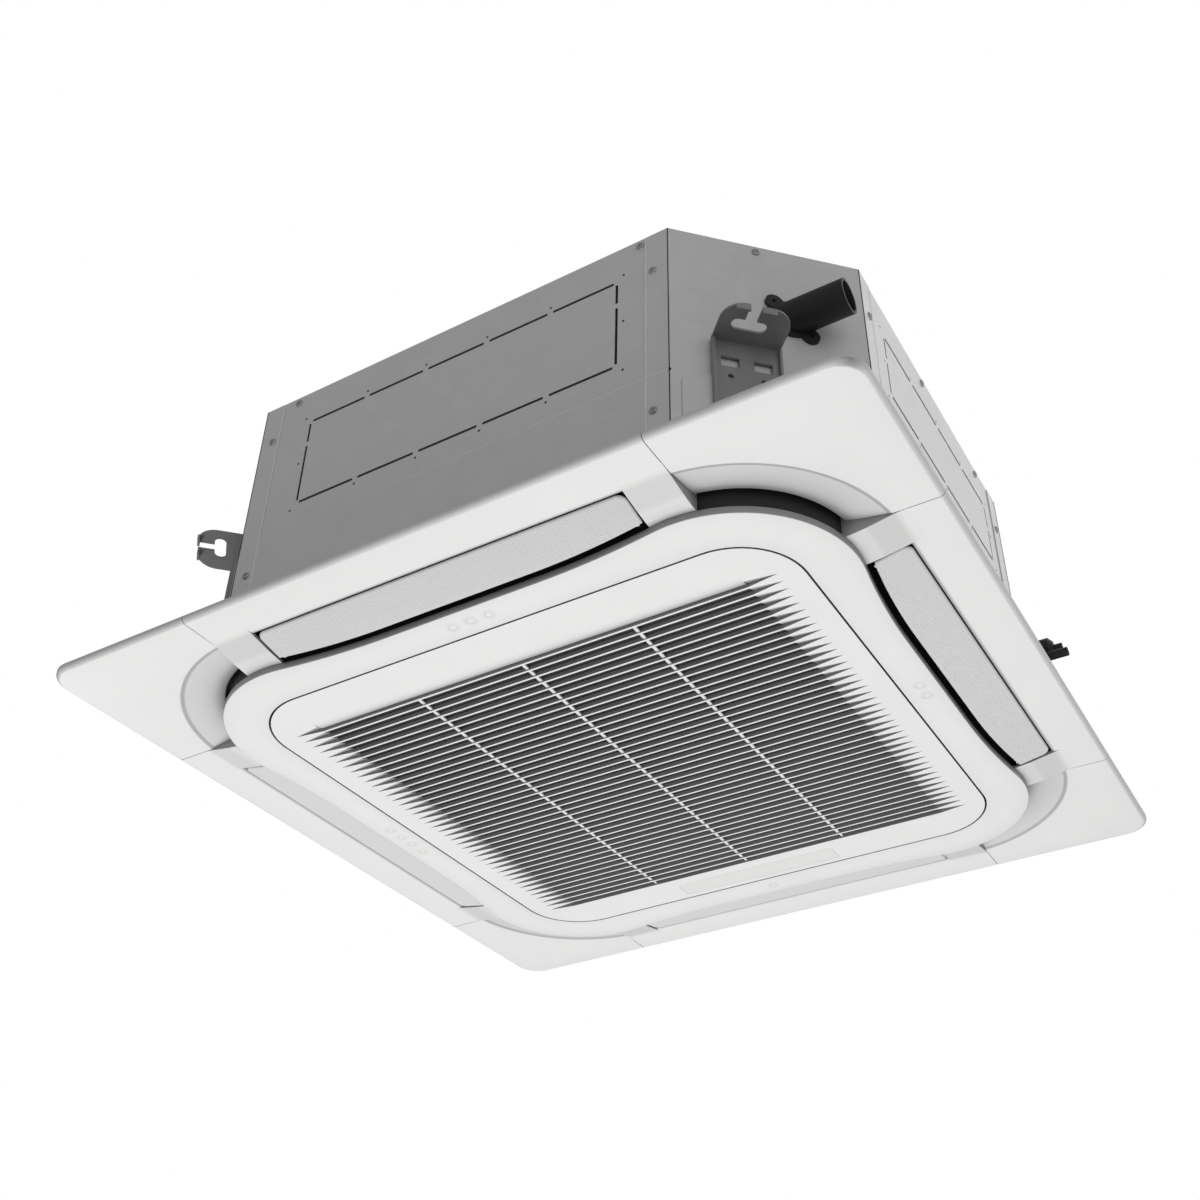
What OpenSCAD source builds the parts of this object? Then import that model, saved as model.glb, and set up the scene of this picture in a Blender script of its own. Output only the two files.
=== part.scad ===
// Ceiling cassette air conditioner: a square panel with four air flaps and a hinged
// intake grille below a sheet steel body that hangs from four brackets.
// Lengths are in millimetres. The origin is the centre of the four hanger plates,
// +Z is up, and the drain socket and the pipe unions leave along +X.

/* [Panel] */
// Side of the square panel
panel_side = 950; // [930:5:980]
// Corner radius of the panel
panel_r = 32; // [20:1:40]
// Height of the panel's outer edge
rim_h = 8; // [7:0.5:12]
// Radius of the panel's rolled lower edge
rim_roll = 5.5; // [2:0.5:6]
// Wall of the panel's mouldings
skin = 3; // [2.5:0.25:3.5]
// Width of the flat outer band, from the panel's edge to a flap
band_w = 53.5; // [50:0.5:60]
// Distance of a corner cover's seams from the panel's centre lines
seam_at = 271.5; // [268:0.5:276]
// Open line between the panel's mouldings
seam_gap = 0.8; // [0.4:0.1:1.2]
// Drop of the centre ring below the panel's edge
ring_drop = 16.5; // [14:0.5:19]
// Height of the centre ring's outer skirt
ring_skirt = 8; // [6:0.5:9]
// Half width of the centre ring at the middle of a side
ring_half = 365.8; // [362:0.2:368]
// Half length of the straight stretch of the ring's sides
ring_straight = 90; // [70:5:110]
// Radius of the hollow curve that leads to the ring's corners
ring_flare_r = 900; // [800:20:1100]
// Radius of the ring's corners
ring_corner_r = 132; // [125:1:138]
// Outer radius of the hollow round each corner air slot
dish_r = 175; // [168:1:180]
// Height to which that hollow rises
dish_h = 11; // [8:0.5:13]

/* [Air flaps] */
// Half length of a flap
flap_half = 220.5; // [212:0.5:221]
// Open line between a flap and the panel
flap_gap = 2.2; // [1:0.1:3]
// Air gap between a flap and the centre ring
flap_ring_gap = 7.2; // [6.5:0.1:9]
// Wall of a flap
flap_wall = 2.8; // [2:0.1:3]
// Drop of a flap's inner edge below its outer edge
flap_drop = 9; // [7:0.5:10]
// Radius of a flap's pivot pins
flap_pin_r = 2.5; // [2:0.1:3]
// Running clearance of pins in their bushes
pin_clear = 0.05; // [0.02:0.01:0.08]

/* [Intake grille] */
// Side of the intake grille
grille_side = 648; // [640:1:650]
// Corner radius of the grille
grille_r = 74; // [65:1:78]
// Open line round the grille
grille_gap = 2; // [1.5:0.1:2.5]
// Thickness of the grille's border
grille_t = 6; // [5.5:0.25:7]
// Number of slats
slat_count = 40; // [30:1:44]
// Distance between slats
slat_pitch = 13.13; // [12.5:0.01:13.2]
// Thickness of a slat
slat_w = 2.4; // [1.8:0.1:3]
// Height of a slat
slat_h = 5.2; // [4:0.1:5.5]
// Half length of the open slots
slot_half = 265.7; // [250:0.5:268]
// Length of the pointed hollow at each end of a slot
slot_point = 35; // [25:1:38]
// Length of the display window
window_l = 222; // [200:1:240]
// Width of the display window
window_w = 29; // [24:1:32]

/* [Body] */
// Side of the square body
body_side = 840; // [820:5:850]
// Height of the body
body_h = 320; // [300:5:340]
// Leg of the body's cut corners
body_cut = 149.4; // [140:0.2:160]
// Thickness of the sheet steel
sheet = 1; // [0.8:0.1:1.2]
// Height of the body's lower edge above the panel's edge
body_rise = 22; // [20:0.5:26]
// Height of the side plates' raised lower skirt
skirt_h = 113.7; // [100:0.1:130]
// Depth of the recess for the pipe unions
recess_d = 38; // [30:1:45]
// Distance of the recess's edge from the centre line
recess_y = 164; // [155:1:175]
// Thickness of the insulation inside the body
liner_t = 14; // [10:1:16]

/* [Hanging] */
// Distance between hanging rods along X
rod_x = 680; // [675:1:690]
// Distance between hanging rods along Y
rod_y = 780; // [770:1:785]
// Height of the hanger plates above the body's lower edge
hanger_rise = 163; // [150:1:180]
// Thickness of a hanger
hanger_t = 2.5; // [2:0.1:3]
// Width of a hanger
hanger_w = 71; // [66:1:76]
// Reach of a hanger from its cut corner
hanger_reach = 53; // [48:1:58]
// Width of the rod slot
rod_slot_w = 13; // [12:0.5:14]
// Length of the rod slot
rod_slot_l = 36; // [32:1:40]

/* [Drain and pipes] */
// Bore of the drain socket
drain_bore = 32; // [30:0.5:34]
// Wall of the drain socket
drain_wall = 3; // [2.5:0.5:4]
// End of the drain socket, from the centre
drain_end = 426; // [420:1:440]
// Distance of the drain socket from the centre line
drain_y = 330; // [326:1:334]
// Height of the drain socket above the body's lower edge
drain_rise = 216; // [205:1:225]
// Diameter of the gas union
gas_d = 28; // [24:1:32]
// Diameter of the gas pipe
gas_pipe_d = 16; // [12:0.5:19]
// Diameter of the liquid pipe
liquid_pipe_d = 9.5; // [8:0.5:12]

/* [Fan] */
// Diameter of the fan
fan_d = 470; // [440:5:480]
// Height of the fan's blades
fan_h = 140; // [120:5:150]
// Width of the shroud, from the fan's eye to its edge
shroud_w = 39; // [35:0.5:44]
// Number of blades
blade_count = 7; // [5:1:9]
// Diameter of the motor
motor_d = 146; // [130:2:160]
// Height of the motor
motor_h = 78; // [70:2:84]
// Radius of the motor's shaft
shaft_r = 6; // [5:0.5:8]

/* [Coil and drain pan] */
// Half width of the coil, outside
coil_half = 345; // [340:1:350]
// Thickness of the coil
coil_t = 30; // [24:1:34]
// Height of the coil
coil_h = 240; // [220:5:250]
// Corner radius of the coil, outside
coil_r = 180; // [170:2:190]
// Height of the drain pan
pan_h = 58; // [54:1:62]
// Depth of the pan's trough
trough_d = 30; // [24:1:32]

/* [Hidden] */

// Smoothness of round shapes, and steps of a quarter turn in outlines
$fn = 64;
arc_steps = 12;
// Overrun of every cut past the face that it opens
over = 1;
// Sliding gap between pieces that sit inside each other
ease = 0.3;

// Heights, from the hanger plates down to the grille
body_z0 = -hanger_rise;
body_z1 = body_z0 + body_h;
rim_z = body_z0 - body_rise;
face_z = rim_z - ring_drop;
panel_half = panel_side / 2;
body_half = body_side / 2;
slot_out = panel_half - band_w;

// Centre ring: the corner circle touches the two hollow curves
flare_c = ring_half + ring_flare_r;
flare_sum = flare_c + ring_straight;
flare_reach = ring_flare_r + ring_corner_r;
ring_c = (flare_sum - sqrt(flare_sum * flare_sum
    - 2 * (flare_c * flare_c + ring_straight * ring_straight - flare_reach * flare_reach))) / 2;
flare_turn = atan2(ring_straight - ring_c, flare_c - ring_c);

// Centre of the corner hollows, of the grille's corners and of its opening
grille_half = grille_side / 2;
round_c = grille_half - grille_r;
open_half = grille_half + grille_gap;
dish_in = 127;
collar_gap = 3;

// Bridges beside each flap, and the flap's pivot
bridge_at = flap_half + flap_gap;
bridge_low = 8.2;
bridge_wall = 3.3;
pivot_in = 29.5;
pivot_rise = 7;
pivot_at = slot_out - pivot_in;
pivot_z = rim_z + pivot_rise;
flap_in = ring_half + flap_ring_gap;
flap_corner = 9;
arm_t = 3;
arm_r = 5;
arm_foot = 24;
bush_wall = 2.4;
bush_l = 5;
bush_gap = 1;
bearing_w = 19;
flap_motor_r = 9;
flap_motor_l = 18;
flap_ear_t = 2;
flap_ear_w = 26;
flap_ear_h = 13;
dot_r = 5;
dot_h = 0.7;
dot_pitch = 22;
dot_at = 346.5;
dot_counts = [3, 2, 1, 4];

// Panel screws and their gussets
gusset_h = 3;
gusset_at = 296;
gusset_in = 262;
panel_screw_r = 2.5;
panel_screw_l = 30;
panel_head_r = 5.5;
panel_head_h = 3.5;

// Grille: hollow borders, ribs, hinge and catches
border_dip = 5;
border_roll_w = 10;
slat_first = -(slat_count - 1) / 2 * slat_pitch;
slats_half = -slat_first + slat_pitch;
groove_at = -slat_first + slat_w / 2;
groove_w = slat_pitch - slat_w + border_roll_w;
rib_at = 135;
cross_w = 3;
cross_h = 3;
cross_up = 2.4;
window_at = 300.5;
window_t = 2.5;
window_r = 5;
lamp_r = 1.6;
lamp_near = 60;
lamp_far = 85;
lamp_at = [lamp_near, lamp_far];
board_t = 1.6;
board_l = 90;
board_w = 18;
chip_h = 2.4;
hinge_out = 16;
hinge_up = 6.6;
hinge_x = 209;
hinge_r = 1.5;
hinge_arm_w = 5;
hinge_arm_t = 3;
hinge_arm_r = 18.3;
hinge_foot_l = 16;
hinge_foot_t = 2;
lug_r = 3;
lug_w = 3;
lug_gap = 0.5;
upstand_t = 2.5;
upstand_h = 18.5;
hinge_y = grille_half + hinge_out;
hinge_z = face_z + hinge_up;
catch_x = 150;
catch_y = 303;
catch_r = 4;
catch_l = 26;
catch_box_x = 24;
catch_box_y = 20;
catch_box_h = 20;
catch_shelf = 2.5;
filter_half_x = 276;
filter_half_y = 276;
filter_bar = 9;
filter_h = 5;
filter_cells = 4;
mesh_t = 0.8;

// Casing
lip_h = 18;
flange_w = 26;
plate_lap = 3;
strip_gap = 0.5;
bead_w = 14;
bead_h = 1.5;
bead_l = 520;
slit_w = 2.2;
slit_side_w = 3.2;
slit_gap = 7;
slit_hole_r = 1.6;
slit_hole_out = 8;
knock_half = 204;
knock_off = 6;
knock_low = 148;
knock_high = 270;
knock_mid = 235.6;
knock_long = 5;
right_knock_long = 4;
right_knock_t0 = -210;
right_knock_t1 = 111;
right_knock_low = 185.5;
right_knock_high = 273;
screw_r = 1.8;
screw_head_r = 4.2;
screw_head_h = 2.2;
screw_in = 5;
screw_low = 67;
screw_high = 263;
screw_lows = [screw_low, screw_high];
screw_side = 253;
screw_top = 9.5;
screw_top_t0 = -222;
screw_top_t1 = 238;
screw_top_at = [screw_top_t0, screw_top_t1];

// Hangers, in the corner's own axes: s along the cut, o outwards
cut_reach = (2 * body_half - body_cut) / sqrt(2);
rod_s = (rod_x - rod_y) / 2 / sqrt(2);
rod_o = (rod_x + rod_y) / 2 / sqrt(2) - cut_reach;
hanger_off = 7;
slot_off = 2.4;
hanger_s = rod_s + hanger_off;
slot_s = rod_s + slot_off;
pad_t = 2;
pad_in = 12;
pad_r = 14;
pad_half = body_cut / sqrt(2) - pad_in;
pad_recess = (2 * (body_half - recess_d) - 2 * body_half + body_cut) / sqrt(2) - pad_in;
relief_r = 2;
mouth_w = 12;
lip_drop = 6;
hanger_corner = 22;
hanger_edge = 5;
vent_w = 19;
vent_h = 13;
vent_drop = 22;
vent_apart = 17;
bolt_hole_r = 3.2;
bolt_drop = 48;
hanger_screw_r = 3;
hanger_nut_r = 6.5;
hanger_nut_h = 4;
hanger_screw_upper = 70;
hanger_screw_lower = 120;
hanger_screw_drop = [hanger_screw_upper, hanger_screw_lower];

// Drain socket
drain_flange_t = 4;
drain_flange_r = 24;
drain_ear_r = 9;
drain_ear = 28;
drain_ear_turn = -47;
drain_in = 348;
drain_stop = 362;
drain_screw_r = 2;
drain_z = body_z0 + drain_rise;
drain_r = drain_bore / 2;

// Unions, at the recess
gas_y = 246;
gas_rise = 133.5;
gas_z = body_z0 + gas_rise;
gas_end = 453;
liquid_y = 226;
liquid_rise = 109.5;
liquid_z = body_z0 + liquid_rise;
liquid_end = 462;
liquid_wall = 0.8;
gas_cap = 438;
liquid_cap = 414;
nub_r = 3.5;
nub_cone = 5;
recess_x = body_half - recess_d;
grommet_t = 6;
liquid_body_r = 7.5;
grommet_w = 3;

// Coil and its pipes
coil_gap_at = 150;
end_plate = 1.5;
bend_r = 5;
bend_wire = 3.6;
bend_pitch = 21;
bend_count = 11;
header_x = 175;
header_y = 330;
header_r = 9;
header_low = 90;
header_high = 280;
pan_floor = 28;
pan_half = ring_half;
pan_hole_r = 262;
duct_half = 230;
pan_z1 = body_z0 + pan_h;
coil_z = pan_z1 - trough_d;

// Bell mouth
bell_wall = 2.5;
bell_flange_r = 272;
bell_mouth_r = 250;
bell_eye_gap = 3.5;
bell_h = 108;
bell_steps = 10;

// Fan and motor
fan_wall = 3;
fan_rise = 240;
fan_top = body_z0 + fan_rise;
eye_d = fan_d - 2 * shroud_w;
fan_low = fan_top - fan_h;
shroud_rise = 20;
hub_r = 92;
hub_nose_r = 30;
hub_nose = 62;
boss_r = 14;
blade_reach = 85;
blade_in = fan_d / 2 - blade_reach;
blade_chord = 112;
blade_lean = 52;
blade_t = 14;
blade_steps = 10;
blade_bow = 14;
shaft_l = 96;
nut_r = 11;
nut_h = 9;
motor_foot = 10;
mount_t = 3;
mount_w = 40;
mount_reach = 112;
rubber_r = 13;
motor_z1 = body_z1 - sheet - motor_foot - mount_t;

// Drain pump, hose and float
hose_rise = 179;
hose_z0 = body_z0 + hose_rise;
pump_r = 26;
pump_gap = 3.304;
pump_at = coil_half - coil_r + (coil_r + pump_r + pump_gap) / sqrt(2);
pump_h = 90;
nozzle_r = 7;
nozzle_h = 14;
hose_in = 8;
pump_low = 62;
pump_foot_r = 12;
pump_foot_h = 26;
hose_r = 9;
float_x = 374;
float_y = -262;
float_at = [float_x, float_y];
float_r = 9;
float_h = 16;
stem_r = 3;
stem_l = 62;
stem_cap_r = 8;
stem_cap_h = 10;

// Control box
box_x = 130;
box_y0 = 276;
box_y1 = 345;
box_low = 16;
box_h = 30;
box_wall = 1.2;
card_t = 1.6;
card_in = 4;
card_up = 8;
post_r = 3;

// Outlines
function turned(p, a) = [p.x * cos(a) - p.y * sin(a), p.x * sin(a) + p.y * cos(a)];
function arc(c, r, a0, a1, n) =
    [for (i = [0:n]) let (a = a0 + (a1 - a0) * i / n) [c.x + r * cos(a), c.y + r * sin(a)]];
function four(quarter) = [for (k = [0:3]) for (p = quarter) turned(p, 90 * k)];
// Square with round corners
function round_square(half, r) =
    four(arc([half - r, half - r], r, 0, 90, arc_steps));
// Outline of the centre ring, moved in by d
function ring_outline(d) = four(concat(
    arc([flare_c, ring_straight], ring_flare_r + d, 180, 180 + flare_turn, arc_steps / 2),
    arc([ring_c, ring_c], ring_corner_r - d, flare_turn, 90 - flare_turn, 2 * arc_steps),
    arc([ring_straight, flare_c], ring_flare_r + d, -90 - flare_turn, -90, arc_steps / 2)));
// Half width of the ring's side at a distance t from its middle
function side_sag(t) =
    abs(t) < ring_straight ? 0
    : ring_flare_r - sqrt(ring_flare_r * ring_flare_r - pow(abs(t) - ring_straight, 2));
// Octagon of the body with its recess for the pipes, moved in by d
function cut_sum(d) = 2 * body_half - body_cut - d * sqrt(2);
function body_outline(d) = let (h = body_half - d, e = cut_sum(d) - h, rx = recess_x - d) [
    [h, -e], [h, recess_y - d], [rx, recess_y - d], [rx, cut_sum(d) - rx], [e, h],
    [-e, h], [-h, e], [-h, -e], [-e, -h], [e, -h]];

module slab(z0, z1) translate([0, 0, z0]) linear_extrude(z1 - z0) children();
module block(x0, x1, y0, y1, z0, z1)
    translate([x0, y0, z0]) cube([x1 - x0, y1 - y0, z1 - z0]);
// Side 0 is the front, 1 the right, 2 the rear and 3 the left
module on_side(i) rotate(90 * i) children();
// Corner 0 is rear right, 1 rear left, 2 front left and 3 front right
module on_corner(i) rotate(90 * i) children();
// A profile in the side's outward and upward axes, drawn from t0 to t1 along the side
module along_side(t0, t1)
    translate([t0, 0, 0]) rotate([90, 0, 90]) linear_extrude(t1 - t0) mirror([1, 0]) children();
// A rod along a side, round the point at (out, z)
module side_rod(t0, t1, out, z, r)
    translate([t0, -out, z]) rotate([0, 90, 0]) cylinder(h = t1 - t0, r = r);
// Straight pipe between two points that lie along one axis of the frame, with a round end
module pipe(a, b, r) {
    d = b - a;
    turn = d.x != 0 ? [0, d.x > 0 ? 90 : -90, 0] : d.y != 0 ? [d.y > 0 ? -90 : 90, 0, 0]
        : [d.z > 0 ? 0 : 180, 0, 0];
    translate(a) rotate(turn) cylinder(h = norm(d), r = r);
    translate(b) sphere(r = r, $fn = 32);
}

// Sheet steel casing
module shell(d, z0, z1) slab(z0, z1) difference() {
    polygon(body_outline(d));
    polygon(body_outline(d + sheet));
}

module screw_hole(out, t, z)
    translate([t, -out, z]) rotate([90, 0, 0])
        cylinder(h = 4 * sheet + 2 * over, r = screw_r + ease, center = true);

module top_plate() color("gainsboro") {
    slab(body_z1 - sheet, body_z1) polygon(body_outline(sheet));
    difference() {
        shell(2 * sheet, body_z1 - sheet - lip_h, body_z1 - sheet / 2);
        for (i = [0:3]) on_side(i) for (t = screw_top_at)
            screw_hole(body_half - 2.5 * sheet, i == 1 ? t * recess_y / body_half : t,
                body_z1 - screw_top);
    }
    for (a = [45, 135]) rotate(a)
        block(-bead_l / 2, bead_l / 2, -bead_w / 2, bead_w / 2, body_z1 - sheet / 2, body_z1 + bead_h);
}

// Dashed slit along X, of a given length and number of dashes
module slits(l, n, w) for (i = [0:n - 1])
    translate([l * (i + 0.5) / n, 0, 0])
        cube([l / n - slit_gap, w, 4 * sheet + 2 * over], center = true);

module knock_out(t0, t1, low, high, mid, n) translate([0, -body_half, 0]) rotate([90, 0, 0]) {
    for (z = [low, high]) translate([t0, z, 0]) slits(t1 - t0, n, slit_w);
    for (t = [t0, t1]) {
        translate([t, low, 0]) rotate(90) slits(mid - low, 1, slit_side_w);
        translate([t, mid, 0]) rotate(90) slits(high - mid, 1, slit_side_w);
    }
    // small holes beside the bridges, at the corners and halfway up the sides
    dots = [for (i = [0:n]) t0 + (t1 - t0) * i / n + slit_hole_out * (i == 0 ? -1 : i == n ? 1 : 0)];
    for (t = dots) for (z = [low - slit_hole_out, high + slit_hole_out]) dot_hole(t, z);
    for (t = [dots[0], dots[n]]) dot_hole(t, (low + high) / 2);
}

module dot_hole(t, z) translate([t, z, 0])
    cylinder(h = 4 * sheet + 2 * over, r = slit_hole_r, center = true);

// Side plate between two distances along the side, with its raised skirt
module side_plate(t0, t1, s0, s1) color("darkgray") {
    difference() {
        block(t0, t1, -body_half + sheet, -body_half + 2 * sheet, body_z0, body_z1 - sheet);
        children();
    }
    block(s0, s1, -body_half, -body_half + sheet, body_z0, body_z0 + skirt_h);
}

plate_half = body_half - body_cut - plate_lap;
strip_half = body_half - body_cut - flange_w - strip_gap;

module plate_holes(i) for (t = screw_top_at)
    screw_hole(body_half - 1.5 * sheet, i == 1 ? t * recess_y / body_half : t, body_z1 - screw_top);

module strip_holes(ends) for (t = ends) for (z = screw_lows)
    screw_hole(body_half - sheet, t, body_z0 + z);

module plain_side(i) on_side(i) side_plate(-plate_half, plate_half, -strip_half, strip_half) {
    knock_out(knock_off - knock_half, knock_off + knock_half, body_z0 + knock_low,
        body_z0 + knock_high, body_z0 + knock_mid, knock_long);
    plate_holes(i);
    strip_holes([-screw_side, screw_side]);
}

module front_plate() plain_side(0);
module rear_plate() plain_side(2);
module left_plate() plain_side(3);
module right_plate() on_side(1)
    side_plate(-plate_half, recess_y - plate_lap, -strip_half, recess_y - flange_w - strip_gap) {
        knock_out(right_knock_t0, right_knock_t1, body_z0 + right_knock_low,
            body_z0 + right_knock_high, body_z0 + knock_mid, right_knock_long);
        plate_holes(1);
        strip_holes([-screw_side, recess_y - flange_w / 2]);
    }

// Pad pressed into a cut corner behind its hanger, between two distances along the cut
module pad(s0, s1) translate([0, sheet / 2, body_z0]) rotate([90, 0, 0]) {
    linear_extrude(pad_t + sheet / 2) {
        translate([s0, 0]) square([s1 - s0, skirt_h - pad_r]);
        translate([s0 + pad_r, 0]) square([s1 - s0 - 2 * pad_r, skirt_h]);
        for (s = [s0 + pad_r, s1 - pad_r]) translate([s, skirt_h - pad_r]) circle(pad_r);
    }
}

// The hanger's own axes on a cut corner: X along the cut, -Y outwards; front right as drawn
module on_cut(flip_x, flip_y) mirror([flip_x, 0, 0]) mirror([0, flip_y, 0])
    rotate(45) translate([0, -cut_reach, 0]) children();

module corner_sheet(x0, x1, y0, y1) intersection() {
    shell(0, body_z0, body_z1 - sheet);
    block(x0, x1, y0, y1, body_z0 - over, body_z1 + over);
}

module corner_plate(flip_x) mirror([flip_x, 0, 0]) difference() {
    union() {
        corner_sheet(strip_half + strip_gap, body_half + over,
            -body_half - over, -strip_half - strip_gap);
        on_cut(0, 0) pad(-pad_half, pad_half);
    }
    // relief holes in the two folds, at the skirt's upper edge
    on_cut(0, 0) for (e = [-1, 1]) translate([e * body_cut / sqrt(2), 0, body_z0 + skirt_h])
        rotate([90, 0, e * 22.5]) cylinder(h = 4 * relief_r, r = relief_r, center = true);
    strip_holes([screw_side]);
    on_side(1) strip_holes([-screw_side]);
    on_cut(0, 0) for (z = hanger_screw_drop) translate([hanger_s, 0, -z]) rotate([90, 0, 0])
        cylinder(h = 2 * pad_t + 4 * over, r = hanger_screw_r + ease, center = true);
}

module drain_hole() along_drain(pump_at, drain_end, drain_r + drain_wall + ease);

module front_left_corner_plate() color("silver") corner_plate(1);
module front_right_corner_plate() color("silver") difference() {
    corner_plate(0);
    drain_hole();
}
module rear_left_corner_plate() color("silver") mirror([0, 1, 0]) corner_plate(1);

module pipe_cover() color("silver") difference() {
    union() {
        corner_sheet(strip_half + strip_gap, recess_x + over, recess_y - over, body_half + over);
        corner_sheet(recess_x - over, body_half + over, recess_y - flange_w, body_half + over);
        mirror([0, 1, 0]) on_cut(0, 0) pad(-pad_half, pad_recess);
    }
    mirror([0, 1, 0]) {
        strip_holes([screw_side]);
        on_cut(0, 0) for (z = hanger_screw_drop) translate([hanger_s, 0, -z]) rotate([90, 0, 0])
            cylinder(h = 2 * pad_t + 4 * over, r = hanger_screw_r + ease, center = true);
    }
    on_side(1) strip_holes([recess_y - flange_w / 2]);
    for (p = [[gas_y, gas_z, gas_pipe_d / 2], [liquid_y, liquid_z, liquid_pipe_d / 2]])
        translate([recess_x, p.x, p.y]) rotate([0, 90, 0])
            cylinder(h = 4 * over + sheet, r = p.z + ease, center = true);
}

module screw(out, t, z, l) translate([t, -out, z]) rotate([90, 0, 0]) {
    cylinder(h = screw_head_h, r = screw_head_r, $fn = 32);
    translate([0, 0, -l]) cylinder(h = l, r = screw_r, $fn = 32);
}

module casing_screws() color("dimgray") {
    for (i = [0:3]) on_side(i) {
        for (t = screw_top_at) screw(body_half - sheet, i == 1 ? t * recess_y / body_half : t,
            body_z1 - screw_top, screw_in);
        for (e = [-1, 1]) for (z = screw_lows) if (i != 1 || e < 0)
            screw(body_half, e * screw_side, body_z0 + z, screw_in);
    }
    on_side(1) for (z = screw_lows)
        screw(body_half, recess_y - flange_w / 2, body_z0 + z, screw_in);
    for (m = [[0, 0], [1, 0], [0, 1], [1, 1]]) on_cut(m.x, m.y) for (z = hanger_screw_drop)
        translate([hanger_s, -pad_t - hanger_t, -z]) rotate([90, 0, 0]) {
            cylinder(h = hanger_nut_h, r = hanger_nut_r, $fn = 6);
            translate([0, 0, -screw_in - hanger_t])
                cylinder(h = screw_in + hanger_t, r = hanger_screw_r, $fn = 32);
        }
}

// Hanger: a plate with a tee slot for the rod, folded to a strip on the cut corner
module hanger_plate() difference() {
    union() {
        translate([-hanger_w / 2, pad_t]) square([hanger_w, hanger_reach - hanger_corner - pad_t]);
        translate([-hanger_w / 2 + hanger_corner, pad_t])
            square([hanger_w - 2 * hanger_corner, hanger_reach - pad_t]);
        for (e = [-1, 1])
            translate([e * (hanger_w / 2 - hanger_corner), hanger_reach - hanger_corner])
                circle(hanger_corner);
    }
    translate([slot_s - hanger_s, 0]) {
        translate([-(rod_slot_l - rod_slot_w) / 2, rod_o - rod_slot_w / 2])
            square([rod_slot_l - rod_slot_w, rod_slot_w]);
        for (e = [-1, 1]) translate([e * (rod_slot_l - rod_slot_w) / 2, rod_o])
            circle(rod_slot_w / 2);
        translate([-mouth_w / 2, rod_o]) square([mouth_w, hanger_reach]);
    }
}

module hanger(flip_x, flip_y) color("lightgray") on_cut(flip_x, flip_y)
    translate([hanger_s, 0, 0]) {
        slab(0, hanger_t) mirror([0, 1]) hanger_plate();
        for (e = [-1, 1]) translate([slot_s - hanger_s + e * (mouth_w / 2 + hanger_corner / 3), 0, 0])
            block(-hanger_corner / 3, hanger_corner / 3, -hanger_reach, hanger_t - hanger_reach,
                -lip_drop, 0);
        difference() {
            block(-hanger_w / 2, hanger_w / 2, -pad_t - hanger_t, -pad_t, body_z0, 0);
            for (e = [-1, 1]) {
                translate([e * vent_apart, -pad_t, -vent_drop - vent_h / 2])
                    cube([vent_w, 4 * hanger_t, vent_h], center = true);
                translate([e * vent_apart, 0, -bolt_drop]) rotate([90, 0, 0])
                    cylinder(h = hanger_reach, r = bolt_hole_r);
            }
            for (z = hanger_screw_drop) translate([0, 0, -z]) rotate([90, 0, 0])
                cylinder(h = hanger_reach, r = hanger_screw_r + ease);
        }
        for (e = [-1, 1]) block(e * hanger_w / 2 - (e > 0 ? hanger_t : 0),
            e * hanger_w / 2 + (e > 0 ? 0 : hanger_t), -pad_t - hanger_t - hanger_edge, -pad_t,
            body_z0, -hanger_t);
    }

module front_left_hanger() hanger(1, 0);
module front_right_hanger() hanger(0, 0);
module rear_right_hanger() hanger(0, 1);
module rear_left_hanger() hanger(1, 1);

// Drain socket: a tube along X on a flange that lies on the cut corner, with a stop inside
module along_drain(x0, x1, r) translate([x0, -drain_y, drain_z]) rotate([0, 90, 0])
    cylinder(h = x1 - x0, r = r);

module drain_socket() color("black") difference() {
    union() {
        along_drain(drain_in, drain_end, drain_r + drain_wall);
        drain_flange();
    }
    along_drain(drain_stop, drain_end + over, drain_r);
    along_drain(drain_in - 2 * hose_r, drain_end, hose_r + pin_clear);
}

drain_s = (drain_in - drain_y) / sqrt(2) + drain_r / sqrt(2);

module drain_flange() on_cut(0, 0) translate([drain_s, 0, drain_z]) rotate([90, 0, 0])
    linear_extrude(drain_flange_t) rotate(drain_ear_turn) difference() {
        union() {
            circle(drain_flange_r);
            translate([-drain_ear, -drain_ear_r]) square([2 * drain_ear, 2 * drain_ear_r]);
            for (e = [-1, 1]) translate([e * drain_ear, 0]) circle(drain_ear_r);
        }
        for (e = [-1, 1]) translate([e * drain_ear, 0]) circle(drain_screw_r);
    }

// Unions: a grommet on the recess, the union's body, and its closing cap
module gas_union() color("black") difference() {
    translate([recess_x, gas_y, gas_z]) rotate([0, 90, 0]) {
        cylinder(h = grommet_t, r = gas_d / 2 + grommet_w);
        cylinder(h = gas_cap - recess_x, r = gas_d / 2);
        translate([0, 0, gas_cap - recess_x])
            cylinder(h = nub_cone, r1 = gas_d / 2, r2 = gas_pipe_d / 2);
        cylinder(h = gas_end - recess_x, r = nub_r);
    }
    translate([recess_x - over, gas_y, gas_z]) rotate([0, 90, 0])
        cylinder(h = gas_cap - recess_x + over, r = gas_pipe_d / 2);
}

module liquid_union() color("black") difference() {
    translate([recess_x, liquid_y, liquid_z]) rotate([0, 90, 0]) {
        cylinder(h = grommet_t, r = liquid_body_r + grommet_w);
        cylinder(h = liquid_cap - recess_x, r = liquid_body_r);
        cylinder(h = liquid_end - recess_x, r = liquid_pipe_d / 2 + liquid_wall);
    }
    translate([recess_x - over, liquid_y, liquid_z]) rotate([0, 90, 0])
        cylinder(h = liquid_end, r = liquid_pipe_d / 2);
}

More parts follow.
